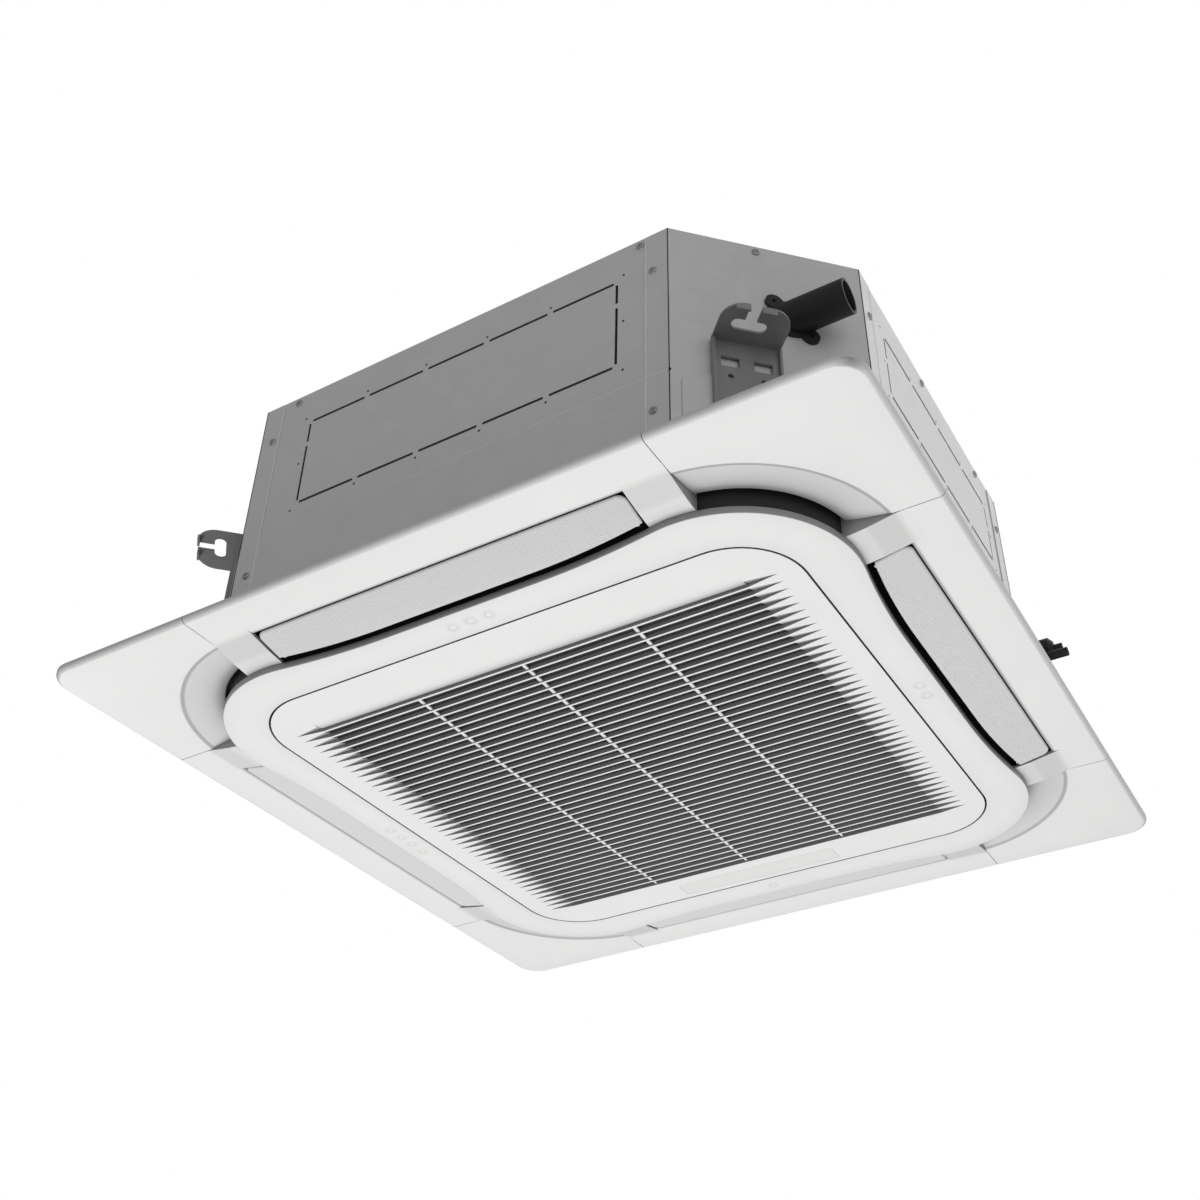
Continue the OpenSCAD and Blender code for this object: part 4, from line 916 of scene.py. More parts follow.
@dataclass
class CornerCover:
    """Moulded cover over a corner of the panel, with the hollow round its air slot."""

    material: Material
    lip_r: float = 127.0
    dish_r: float = 175.0
    dish_h: float = 11.0
    step: float = 0.12
    step_share: float = 0.09
    lip_share: float = 0.18
    ease: float = 0.04
    skin: float = 3.0
    rim: float = 8.0
    roll: float = 5.5
    nose_points: int = 7
    roll_points: int = 9
    bowl_points: int = 16
    step_points: int = 12
    lip_end: float = 0.97
    step_lap: float = 1.1

    def hollow_rise(self, u: float) -> float:
        """Height of the hollow: a soft step at its outer edge, an even slope, a steeper lip.

        With the shares s and l of the height h, it is h (s smooth(u / step) + (1 - s - l)
        (1 + e) u^2 / (u + e) + l u^4), where e eases the slope in.

        Args:
            u: 0 at the flat, 1 at the lip.

        Returns:
            The height above the panel's lower edge.
        """
        x = min(u / self.step, 1.0)
        slope = (1 + self.ease) * u * u / (u + self.ease)
        even = 1 - self.step_share - self.lip_share
        return self.dish_h * (self.step_share * x * x * (3 - 2 * x) + even * slope + self.lip_share * u ** 4)

    def build(self) -> None:
        """Carry one closed section from seam to seam.

        The section runs from the lip down the hollow, over the flat band, round the rolled rim,
        and back on top.
        """
        plan, half = Corner(), self.skin / 2
        nose = [(plan.hollow(self.lip_r + half * (1 - math.sin(a))), self.dish_h + half * (1 + math.cos(a)))
                for a in np.linspace(0, np.pi, self.nose_points)]
        shares = np.concatenate([np.linspace(self.lip_end, self.step_lap * self.step, self.bowl_points),
                                 np.linspace(self.step, 0, self.step_points)])
        width = self.dish_r - self.lip_r
        bowl = [(plan.hollow(self.dish_r - width * u), self.hollow_rise(u)) for u in shares]
        roll = [(plan.edge(d), z) for d, z in soft_edge(self.roll, self.roll_points)]
        top = [(plan.edge(d), self.rim + z) for d, z in RIM_TOP] + [(plan.edge(self.skin), self.skin)]
        back = [(line, z + self.skin) for line, z in reversed(bowl)]
        strip = np.stack([level(line, z) for line, z in nose + bowl + roll + top + back], 1)
        for k, name in enumerate(CORNERS):
            obj = Shell().tube(turned(strip, k)).piece(name + "_corner_cover")
            settle(obj, self.material, Slot.WHITE, Body.CASE, name + "_cover")


@dataclass
class PanelFrame:
    """The panel's carrier: white outer bands and bridges, and ducts and collar behind them, dark as painted
    shade of the unit's inside.

    Sections are (distance outwards, panel height). The carrier over the corner covers lies
    between two heights, and so do the gussets over the covers' screws.
    """

    material: Material
    dark: Material
    slot_out: float = 421.5
    half: float = 475.0
    roll: float = 5.5
    edge_in: float = 6.0
    edge_up: float = 2.2
    rim: float = 8.0
    skin: float = 2.0
    seam: float = 271.5
    seam_gap: float = 0.4
    bridge_at: float = 222.7
    bridge: Profile = ((440, 0.03), (428, -0.15), (396, -6), (378, -8.2), (362.8, -8.2),
                       (362.8, -4.9), (378, -4.9), (419, 2), (440, 3.2))
    bridge_radii: tuple[float, ...] = (0.2, 60.0, 110.0, 100.0, 0.8, 0.8, 16.0, 10.0, 0.2)
    web: Profile = ((424, -0.3), (378, -8), (362.8, -8), (362.8, 21.9), (400, 21.9), (424.5, 3))
    web_w: float = 3.0
    duct: Profile = ((421.6, 5), (425, 6.2), (403.2, 22), (400, 22), (420.4, 6.4))
    bearing: Profile = ((401.5, -2.5), (382.5, -5.2), (382.5, 16.5), (401.5, 16.5))
    bearing_at: tuple[float, float] = (1.0, 6.0)
    cover: Profile = ((364, 20.4), (403, 20.4), (403, 22), (364, 22))
    recess: float = 164.0
    recess_lap: float = 8.0
    collar_in: tuple[float, float] = (3.0, 6.0)
    collar_low: float = -13.0
    duct_top: float = 22.0
    carrier_r: float = 178.0
    carrier_in: float = 3.3
    carrier_z: tuple[float, float] = (3.2, 6.2)
    lip_wall_r: tuple[float, float] = (130.0, 133.0)
    lip_wall_low: float = 14.4
    gusset_at: float = 262.0
    gusset_in: float = 4.5
    gusset_low: float = 19.0
    edge_points: int = 10

    def band(self, shell: Shell) -> None:
        """Outer band: a soft quarter ellipse at the slot, the flat, and a quarter circle at the rim.

        Args:
            shell: what they are added to.
        """
        quarter = reversed(soft_edge(1.0, self.edge_points))
        soft = [(self.slot_out + self.edge_in * d, self.edge_up * z) for d, z in quarter]
        roll = [(self.half - d, z) for d, z in soft_edge(self.roll, self.edge_points)]
        top = [(self.half - d, self.rim + z) for d, z in RIM_TOP]
        inner = self.rim - self.skin
        back = [(self.half - RIM_TOP[-1][0], inner), (self.slot_out, inner)]
        strip = np.array(soft + roll + top + back) + [0, RIM_Z]
        end = self.seam - self.seam_gap
        for side in range(4):
            shell.prism(strip, -end, end, side)

    def bridges(self, shell: Shell) -> None:
        """Bridges that roll softly from the band down to the ring, and their end walls.

        Args:
            shell: what they are added to.
        """
        bridge = section(self.bridge, np.array(self.bridge_radii), steps=9)
        web = section(self.web)
        for side in range(4):
            for e in ENDS:
                shell.prism(bridge, e * self.bridge_at, e * (self.seam - self.seam_gap / 2), side)
                shell.prism(web, e * (self.seam - self.web_w), e * self.seam, side)

    def ducts(self, shell: Shell) -> None:
        """Slanted duct walls, webs for the flaps' bushes, and a cover where the casing steps back.

        Args:
            shell: what they are added to.
        """
        wall, bearing = section(self.duct, radius=0.3), section(self.bearing, radius=1.5, steps=4)
        end = self.seam - self.web_w
        near, far = (self.bridge_at + d for d in self.bearing_at)
        for side in range(4):
            shell.prism(wall, -end, end, side)
            for e in ENDS:
                shell.prism(bearing, e * near, e * far, side)
        shell.prism(section(self.cover), self.recess - self.recess_lap, end, RIGHT)

    def collar_wall(self, shell: Shell) -> None:
        """Wall between the intake and the air slots, carried round the ring's outline.

        Args:
            shell: what they are added to.
        """
        near, far = (Outlines().ring(d) for d in self.collar_in)
        rings = wall_lines(near, far, self.collar_low, self.duct_top)
        shell.grid(np.stack(rings), close_u=True, close_v=True)

    def corners(self, shell: Shell) -> None:
        """Carrier over each corner cover, the wall above its lip, and the screw's gusset.

        Args:
            shell: what they are added to.
        """
        plan = Corner(seam=self.seam)
        edges = ((plan.hollow(self.carrier_r), plan.edge(self.carrier_in)), self.carrier_z)
        walls = (tuple(plan.hollow(r) for r in self.lip_wall_r), (self.lip_wall_low, self.duct_top))
        for (near, far), (low, top) in (edges, walls):
            strip = np.stack(wall_lines(near, far, low, top), 1)
            for k in range(4):
                shell.tube(turned(strip, k))
        ring, at = Outlines().ring(self.gusset_in), self.gusset_at
        loop = np.concatenate([ring[(ring[:, 0] > at) & (ring[:, 1] > at)], [[at, at]]])
        layers = np.stack([level(loop, z) for z in (self.gusset_low, self.duct_top)])
        for k in range(4):
            shell.tube(turned(layers, k))

    def build(self) -> None:
        """Make the white bands and the carrier, whose dark stands for painted shade inside."""
        shell = Shell()
        self.band(shell)
        self.bridges(shell)
        settle(shell.piece("panel_bands"), self.material, Slot.WHITE, Body.CASE, "panel_frame")
        shell = Shell()
        self.ducts(shell)
        self.collar_wall(shell)
        self.corners(shell)
        # Painted shade: the carrier's dark stands for the shade inside the slots.
        settle(shell.piece("panel_ducts"), self.dark, Slot.BLACK, Body.CASE)


@dataclass
class IntakeRing:
    """Waisted centre ring with its skirt, upstand, cups, hinge ears and catch shelves.

    The skirt's top is (distance in, height above the skirt), and a cup's profile is (distance
    beyond the cup's radius, height above the ring's face).
    """

    material: Material
    dark: Material
    bottom: float = -16.5
    skin: float = 3.0
    skirt: float = -8.5
    skirt_top: Profile = ((0.0, -0.6), (0.2, -0.15), (0.7, 0.0), (2.1, 0.0), (2.7, -0.5))
    opening: float = 326.0
    opening_r: float = 76.0
    edge: float = 0.9
    inner_edge: float = 0.5
    dot_r: float = 5.0
    dot_pitch: float = 22.0
    dot_at: float = 346.5
    dot_counts: tuple[int, ...] = (3, 2, 1, 4)
    cup: Profile = ((4.0, 0.01), (0.4, -0.22), (0.0, -0.27), (-0.3, -0.22), (-0.9, -0.05), (-1.6, -0.03))
    cup_floor: float = -0.02
    rib_w: float = 2.5
    rib_low: float = 0.05
    rib_top: float = 2.0
    hinge_x: float = 209.0
    hinge_gap: float = 3.0
    pin: tuple[float, float] = (340.0, -9.9)
    bore_r: float = 1.56
    ear_r: float = 3.0
    ear_drop: float = 5.1
    ear_half: float = 1.5
    ear_at: float = 4.5
    shelf: Profile = ((293, -0.5), (327.2, -0.5), (327.2, 2), (293, 2))
    catch_x: float = 150.0
    shelf_at: tuple[float, float] = (4.4, 12.0)
    edge_points: int = 6

    def body(self, shell: Shell) -> None:
        """Carry the ring's closed section round: outlines of the ring outside, of the opening inside.

        Args:
            shell: what they are added to.
        """
        plan, inside = Outlines(), self.bottom + self.skin
        lines = [(plan.ring(d), self.bottom + z) for d, z in soft_edge(self.edge, self.edge_points)]
        lines += [(plan.ring(d), self.skirt + z) for d, z in self.skirt_top]
        lines.append((plan.ring(self.skirt_top[-1][0]), inside))
        lip = soft_edge(self.inner_edge, self.edge_points)
        inner = [(0.0, inside)] + [(z, self.bottom + d) for d, z in lip]
        lines += [(plan.square(self.opening + d, self.opening_r + d), z) for d, z in inner]
        shell.grid(np.stack([level(line, z) for line, z in lines]), close_u=True, close_v=True)

    def dots(self, shell: Shell) -> None:
        """Shallow cups with soft lips, one to four on a side.

        Args:
            shell: what they are added to.
        """
        profile = np.concatenate([np.array(self.cup) + [self.dot_r, 0.0], [[0.0, self.cup_floor]]])
        for side, count in enumerate(self.dot_counts):
            for j in range(count):
                at = np.array([(j - (count - 1) / 2) * self.dot_pitch, -self.dot_at, RIM_Z + self.bottom])
                shell.spin(profile, Axis(tuple(turned(at, side))), count=24)

    def upstand(self, shell: Shell) -> None:
        """Rib round the opening, dark as painted shade of the gap round the grille, with gaps in its rear run
        for the grille's hinge arms.

        The long strip leaves out the rear run between the outer sides of the two gaps; a short
        straight strip lies between the gaps.

        Args:
            shell: what they are added to.
        """
        plan, low = Outlines(), self.bottom + self.skin + self.rib_low
        corners = ((0.0, low), (self.rib_w, low), (self.rib_w, self.rib_top), (0.0, self.rib_top))
        rear, side = self.opening - 1.0, self.hinge_x + self.hinge_gap + 1.0
        near = plan.square(self.opening, self.opening_r)
        past = (near[:, 1] > rear) & (near[:, 0] < -side)
        start = int(np.argmin(np.where(past, -near[:, 0], np.inf)))
        paths = []
        for d, z in corners:
            loop = np.roll(plan.square(self.opening + d, self.opening_r + d), -start, 0)
            kept = loop[~((loop[:, 1] > rear) & (np.abs(loop[:, 0]) < side))]
            first, last = ([[e * (self.hinge_x + self.hinge_gap), self.opening + d]] for e in ENDS)
            paths.append(level(np.concatenate([first, kept, last]), z))
        shell.tube(np.stack(paths, 1))
        end = self.hinge_x - self.hinge_gap
        shell.prism(np.array(corners) + [self.opening, RIM_Z], -end, end, REAR)

    def ear(self, shell: Shell, x: float) -> None:
        """One bored ear of the hinge.

        Seen along the pin, with the ear's radius R and its drop D, the outside lies at the
        distance min(R / |cos a|, D / -sin a) below the pin and at R above it.

        Args:
            shell: what the ear is added to.
            x: its middle, along the pin.
        """
        a = whole_turn(32)
        c, s = np.cos(a), np.sin(a)
        tiny = 1e-3
        low = np.minimum(self.ear_r / np.maximum(np.abs(c), tiny), self.ear_drop / np.maximum(-s, tiny))
        outside, bore = np.where(s < 0, low, self.ear_r), np.full_like(a, self.bore_r)
        near, far = x - self.ear_half, x + self.ear_half
        y, z = self.pin
        loops = [np.stack([np.full_like(a, at), y + r * c, RIM_Z + z + r * s], 1)
                 for r, at in ((outside, near), (outside, far), (bore, far), (bore, near))]
        shell.grid(np.stack(loops), close_u=True, close_v=True)

    def brackets(self, shell: Shell) -> None:
        """Hinge ears at the rear and the catches' shelves at the front.

        Args:
            shell: what they are added to.
        """
        shelf = section(self.shelf)
        near, far = self.shelf_at
        for e in ENDS:
            for f in ENDS:
                self.ear(shell, e * self.hinge_x + f * self.ear_at)
            shell.prism(shelf, e * self.catch_x - far, e * self.catch_x - near)
            shell.prism(shelf, e * self.catch_x + near, e * self.catch_x + far)

    def build(self) -> None:
        """Make the white ring and its upstand, dark as painted shade in the gap round the grille."""
        shell = Shell()
        self.body(shell)
        self.dots(shell)
        settle(shell.piece("centre_ring", smooth=40), self.material, Slot.WHITE, Body.CASE, "intake_ring")
        shell = Shell()
        self.upstand(shell)
        self.brackets(shell)
        # Painted shade: the upstand is dark to stand for the shade in the gap round the grille.
        settle(shell.piece("ring_upstand"), self.dark, Slot.BLACK, Body.CASE)


@dataclass
class Flap:
    """Air flap: a sloping plate with round edges, fine ribs, two arms and its pivot pins."""

    material: Material
    half: float = 220.5
    out: float = 420.3
    inner: float = 373.0
    nip: float = 0.45
    low: float = -1.0
    slope: float = 9.0 / 46.3
    wall: float = 2.8
    corner: float = 9.0
    low_edge: float = 2.0
    top_edge: float = 0.6
    rib_from: float = 3.0
    rib_pitch: float = 2.6
    rib_half: float = 0.75
    rib_rise: float = 0.32
    rib_sink: float = 0.1
    rib_clear: float = 2.2
    rib_end: float = 2.0
    most_sag: float = 9.6
    foot: tuple[float, float] = (404.0, 380.0)
    foot_up: float = 1.4
    arm: Profile = ((387.0, 7.0), (388.5, 11.6), (395.5, 11.6), (397.0, 7.0))
    arm_radii: tuple[float, ...] = (0.5, 0.5, 1.0, 3.6, 3.6, 1.0)
    arm_at: tuple[float, float] = (212.5, 215.5)
    pivot: tuple[float, float] = (392.0, 7.0)
    pin: Profile = ((0.0, 0.0), (2.2, 0.0), (2.5, 0.4), (2.5, 15.8), (2.2, 16.2), (0.0, 16.2))
    inner_points: int = 61
    corner_points: int = 7
    edge_points: int = 6

    def outline(self) -> Array:
        """Plan outline: straight outside, hollow inside like the ring, round at the ends.

        Returns:
            (n, 2) points, anticlockwise.
        """
        t = np.linspace(self.half, -self.half, self.inner_points)
        inner = np.stack([t, -self.inner - Outlines().sag(t)], 1)
        a = np.linspace(-np.pi / 2, 0, self.corner_points)
        turn = self.corner * np.stack([np.cos(a), np.sin(a)], 1)
        right = turn + [self.half - self.corner, -self.out + self.corner]
        left = right[::-1] * [-1, 1]
        inner[0] += [-self.nip, -self.nip]
        inner[-1] += [self.nip, -self.nip]
        return np.concatenate([right, inner, left])

    def height(self, out: Array | float) -> Array | float:
        """Height of the lower face at a distance out: it falls evenly towards the ring."""
        return RIM_Z + self.low - (self.out - out) * self.slope

    def plate(self, shell: Shell, side: int) -> None:
        """The sloping plate: its outline moved in round the lower edge and again round the upper.

        Args:
            shell: what the plate is added to.
            side: the flap's side.
        """
        loop = self.outline()
        upper = reversed(soft_edge(self.top_edge, self.edge_points))
        edges = soft_edge(self.low_edge, self.edge_points) + [(d, self.wall - z) for d, z in upper]
        rings = []
        for d, z in edges:
            plan = inset(loop, d)
            rings.append(np.column_stack([plan, self.height(-plan[:, 1]) + z]))
        shell.tube(turned(np.stack(rings), side))

    def ribs(self, shell: Shell, side: int) -> None:
        """Fine half-round ribs along the lower face.

        A rib at the distance o from the centre ends where the hollow inner edge reaches it,
        o - inner - clearance = R - sqrt(R^2 - u^2), or where the round outer corner does.

        Args:
            shell: what they are added to.
            side: the flap's side.
        """
        plan = Outlines()
        a = np.linspace(0, np.pi, self.edge_points)
        curve = np.stack([self.rib_half * np.cos(a), self.rib_sink - self.rib_rise * np.sin(a)], 1)
        for o in np.arange(self.out - self.rib_from, self.inner + self.rib_from, -self.rib_pitch):
            sag = min(o - self.inner - self.rib_clear, self.most_sag)
            hollow = math.sqrt(plan.flare_r ** 2 - (plan.flare_r - sag) ** 2) + plan.straight
            inside = max(self.corner - (self.out - o), 0.0)
            bend = math.sqrt(max(self.corner ** 2 - inside ** 2, 0.0)) - self.corner
            end = min(hollow, self.half - self.rib_end + bend)
            shell.prism(curve + [o, self.height(o)], -end, end, side)

    def arms(self, shell: Shell, side: int) -> None:
        """Two arms that rise from the plate, each with a pivot pin.

        Args:
            shell: what they are added to.
            side: the flap's side.
        """
        foot = [(out, self.height(out) + self.foot_up) for out in self.foot]
        top = [(out, RIM_Z + z) for out, z in self.arm]
        arm = rounded(np.array(foot + top), np.array(self.arm_radii), steps=6)
        near, far = self.arm_at
        out, z = self.pivot
        for e in ENDS:
            shell.prism(arm, e * near, e * far, side)
            at = turned(np.array([e * near, -out, RIM_Z + z]), side)
            along = turned(np.array([float(e), 0, 0]), side)
            shell.spin(np.array(self.pin), Axis(tuple(at), tuple(along)), count=24)

    def build(self) -> None:
        """Make the four flaps."""
        for side, name in enumerate(SIDES):
            shell = Shell()
            self.plate(shell, side)
            self.ribs(shell, side)
            self.arms(shell, side)
            obj = shell.piece(name + "_air_flap")
            settle(obj, self.material, Slot.FLAP, Body(name + "_flap_body"), name + "_flap")


@dataclass
class FilterNet:
    """Woven net of the filter: two layers of flat threads."""

    material: Material
    half: float = 266.8
    pitch: float = 1.6
    width: float = 0.62
    thick: float = 0.3
    low: float = -10.45

    def build(self) -> None:
        """Lay one box for each thread, all made at once from an array of their places."""
        at = np.arange(-self.half + self.pitch / 2, self.half, self.pitch)
        corner = np.array([[-1, -1], [1, -1], [1, 1], [-1, 1]], float)
        cross = corner * [self.width / 2, self.thick / 2]
        shell = Shell()
        for layer in range(2):
            z = RIM_Z + self.low + self.thick * (0.5 + layer)
            ring = np.zeros((len(at), 2, 4, 3))
            ring[..., 1] = np.array([-self.half, self.half])[None, :, None]
            ring[..., 0] = at[:, None, None] + cross[:, 0]
            ring[..., 2] = z + cross[:, 1]
            for thread in turned(ring, layer):
                shell.tube(thread)
        settle(shell.piece("filter_net"), self.material, Slot.NET, Body.GRILLE, "filter_mesh")


@dataclass
class GrilleRibs:
    """Broad lower edges of the grille's three cross ribs, just inside the slats' edges."""

    material: Material
    at: float = 135.0
    width: float = 4.4
    half: float = 256.0
    low: float = -15.0
    high: float = -12.6
    edge: float = 0.5

    def build(self) -> None:
        """Carry a soft-edged section along each rib."""
        shell = Shell()
        for x in (-self.at, 0.0, self.at):
            left, right = x - self.width / 2, x + self.width / 2
            corners = ((left, self.low), (right, self.low), (right, self.high), (left, self.high))
            shell.prism(section(corners, self.edge, steps=4), -self.half, self.half, RIGHT)
        settle(shell.piece("grille_cross_ribs"), self.material, Slot.WHITE, Body.GRILLE)


@dataclass
class Screws:
    """Pan-head screws of the casing and the nuts of the hangers.

    Places are distances along a side and heights. The right side steps back at its rear end, so
    its screws on top sit closer and its second column stands at step_at.
    """

    material: Material
    head_r: float = 4.4
    head_h: float = 2.4
    head_rim: float = 0.5
    head_sunk: float = 0.3
    cross_half: float = 0.55
    cross_reach: float = 2.4
    cross_depth: float = 1.2
    half: float = 420.0
    top_at: tuple[float, float] = (-222.0, 238.0)
    top_z: float = 147.5
    top_share: float = 164 / 420
    edge_at: float = 253.0
    edge_z: tuple[float, float] = (-96.0, 100.0)
    step_at: float = 151.0
    cut_reach: float = 488.3
    corner_along: float = -10.0
    corner_z: float = 147.0
    nut_along: float = -28.36
    nut_out: float = 4.5
    nut_z: tuple[float, float] = (-70.0, -120.0)
    nut_r: float = 6.5
    nut_edge: float = 0.6
    rings: int = 12
    spokes: int = 40
    middle: float = 0.001
    crowding: float = 0.8
    nut_layers: Profile = ((0.8, 0.0), (0.0, 0.6), (0.0, 3.4), (0.8, 4.0))
    bolt: Profile = ((3.0, 3.9), (3.0, 5.2), (2.6, 5.7), (0.0, 5.7))

    def head(self) -> Shell:
        """A domed head with a cross recess.

        On a polar grid the height is h sqrt(1 - (r / R)^4), less the cross's depth where the
        distance to the nearer of two crossed lines is under half an arm's width; both ends of
        the cross are softened by 1 / (1 + exp(x / s)).

        Returns:
            The head, on Z at the origin.
        """
        r = (np.linspace(self.middle, 1, self.rings) ** self.crowding * self.head_r)[:, None]
        a = whole_turn(self.spokes)[None]
        x, y = r * np.cos(a), r * np.sin(a)
        arch = np.sqrt(np.maximum(1 - (r / self.head_r) ** 4, 0)) + 0 * a
        dome = self.head_rim + (self.head_h - self.head_rim) * arch
        off = np.minimum(np.abs(x), np.abs(y))
        arm_soft, end_soft = 0.08, 0.15
        arms = 1 / (1 + np.exp((off - self.cross_half) / arm_soft))
        cross = arms / (1 + np.exp((r - self.cross_reach) / end_soft))
        top = np.stack([x, y, dome - self.cross_depth * cross], -1)
        wall = np.stack([x[-1:], y[-1:], np.zeros_like(x[-1:]) - self.head_sunk], -1)
        return Shell().grid(np.concatenate([top, wall]), close_v=True).cap(wall[0]).cap(top[0])

    def places(self) -> list[Axis]:
        """Where the heads sit, each with its outward direction.

        Returns:
            The places.
        """
        spots: list[tuple[int, float, float, float]] = []
        for side in range(4):
            share = self.top_share if side == RIGHT else 1.0
            spots += [(side, self.half - 1, t * share, self.top_z) for t in self.top_at]
            ends = ENDS[:1] if side == RIGHT else ENDS
            spots += [(side, self.half, e * self.edge_at, z) for e in ends for z in self.edge_z]
        spots += [(RIGHT, self.half, self.step_at, z) for z in self.edge_z]
        found = []
        for side, out, t, z in spots:
            at = turned(np.array([t, -out, z]), side)
            found.append(Axis(tuple(at), tuple(turned(np.array([0.0, -1.0, 0.0]), side))))
        corners = ((1, 1), (-1, 1), (-1, -1))
        return found + [self.on_cut(*f, self.corner_along, self.cut_reach, self.corner_z) for f in corners]

    def on_cut(self, fx: int, fy: int, along: float, out: float, z: float) -> Axis:
        """A place on a cut corner, and the way out from it.

        Args:
            fx: 1 or -1, mirrors the front right corner in x.
            fy: 1 or -1, mirrors it in y.
            along: distance along the cut from its middle.
            out: distance from the unit's centre.
            z: height.

        Returns:
            The place: x and y are (along + out) and (along - out) over the root of 2.
        """
        x, y = (along + out) / math.sqrt(2), (along - out) / math.sqrt(2)
        return Axis((fx * x, fy * y, z), (fx * 1.0, fy * -1.0, 0.0))

    def build(self) -> None:
        """Make the heads and the nuts."""
        heads = self.head().copies(self.places()).piece("casing_screw_heads", smooth=50)
        settle(heads, self.material, Slot.HANGER, Body.CASE, "casing_screws")
        hexagon = rounded(circle(self.nut_r, count=6), self.nut_edge, steps=3)
        rings = [np.column_stack([inset(hexagon, d), np.full(len(hexagon), z)]) for d, z in self.nut_layers]
        nut = Shell().tube(np.stack(rings)).spin(np.array(self.bolt), Axis((0, 0, 0)), count=20)
        out = self.cut_reach + self.nut_out
        places = [self.on_cut(fx, fy, self.nut_along, out, z)
                  for fx, fy in ((1, 1), (-1, 1), (1, -1), (-1, -1)) for z in self.nut_z]
        settle(nut.copies(places).piece("hanger_nuts", smooth=35), self.material, Slot.HANGER, Body.CASE)


@dataclass(frozen=True)
class KnockOut:
    """Where the level slits of a side's knock-out lie: its ends, its two heights, their number."""

    start: float
    end: float
    low: float
    high: float
    count: int


@dataclass
class CasingSeams:
    """Beads on the casing's sheets: light beads on the skirt's hem and the flanges' edges as painted
    highlights, and dark beads on the fold lines and strips round the slits as painted shade.
    """

    light: Material
    dark: Material
    half: float = 420.0
    fold: float = 270.6
    flange: float = 244.35
    recess: float = 164.0
    recess_flange: float = 137.75
    low: float = -162.6
    high: float = 155.6
    hem: float = -49.3
    hem_r: float = 0.7
    hem_short: float = 0.6
    flange_r: float = 0.55
    fold_r: float = 0.6
    sunk: float = 0.15
    slit_w: float = 3.3
    slit_gap: float = 7.0
    slit_round: float = 0.9
    slit_depth: tuple[float, float] = (1.5, 0.85)
    knock: KnockOut = KnockOut(-198.0, 210.0, -15.0, 107.0, 5)
    right_knock: KnockOut = KnockOut(-210.0, 111.0, 22.5, 110.0, 4)

    def bead(self, shell: Shell, side: int, a: tuple[float, float], b: tuple[float, float], r: float) -> None:
        """A round bead half sunk in a side, with domed ends.

        Args:
            shell: what the bead is added to.
            side: the side that it lies on.
            a: its start, as the distance along the side and the height.
            b: its end.
            r: its radius.
        """
        start, end = (turned(np.array([t, self.sunk - self.half, z]), side) for t, z in (a, b))
        length = float(np.linalg.norm(end - start))
        q = np.linspace(0, np.pi / 2, 4)
        dome = np.stack([r * np.sin(q), r * (1 - np.cos(q))], 1)
        profile = np.concatenate([dome, dome[::-1] * [1, -1] + [0, length]])
        shell.spin(profile, Axis(tuple(start), tuple(end - start)), count=10)

    def slit_shade_strips(self, shell: Shell, side: int) -> None:
        """Dark strips round the level slits of a side's knock-out, with round ends, as painted shade that
        widens the slits.

        Args:
            shell: what they are added to.
            side: the side.
        """
        knock = self.right_knock if side == RIGHT else self.knock
        pitch, half = (knock.end - knock.start) / knock.count, self.slit_w / 2
        for z in (knock.low, knock.high):
            for i in range(knock.count):
                a = knock.start + pitch * i + self.slit_gap / 2
                b = knock.start + pitch * (i + 1) - self.slit_gap / 2
                corners = np.array([[a, z - half], [b, z - half], [b, z + half], [a, z + half]])
                loop = rounded(corners, self.slit_round * half, steps=4)
                layers = [np.column_stack([loop[:, 0], np.full(len(loop), depth - self.half), loop[:, 1]])
                          for depth in self.slit_depth]
                shell.tube(turned(np.stack(layers), side))

    def build(self) -> None:
        """Make the light beads, as painted highlights, and the dark lines, as painted shade."""
        light, dark = Shell(), Shell()
        for side in range(4):
            fold = self.recess if side == RIGHT else self.fold
            flange = self.recess_flange if side == RIGHT else self.flange
            left, right = self.hem_short - self.fold, fold - self.hem_short
            self.bead(light, side, (left, self.hem), (right, self.hem), self.hem_r)
            for t in (-self.flange, flange):
                self.bead(light, side, (t, self.low), (t, self.high), self.flange_r)
            for t in (-self.fold, fold):
                self.bead(dark, side, (t, self.low), (t, self.high), self.fold_r)
            self.slit_shade_strips(dark, side)
        # Painted highlight: the light beads stand for light caught by the hem and the flanges' edges.
        settle(light.piece("casing_highlight_beads", smooth=50), self.light, Slot.CASING, Body.CASE)
        # Painted shade: the dark beads and strips stand for the shade in the fold gaps and the slits.
        settle(dark.piece("casing_fold_shade_lines", smooth=50), self.dark, Slot.BLACK, Body.CASE)


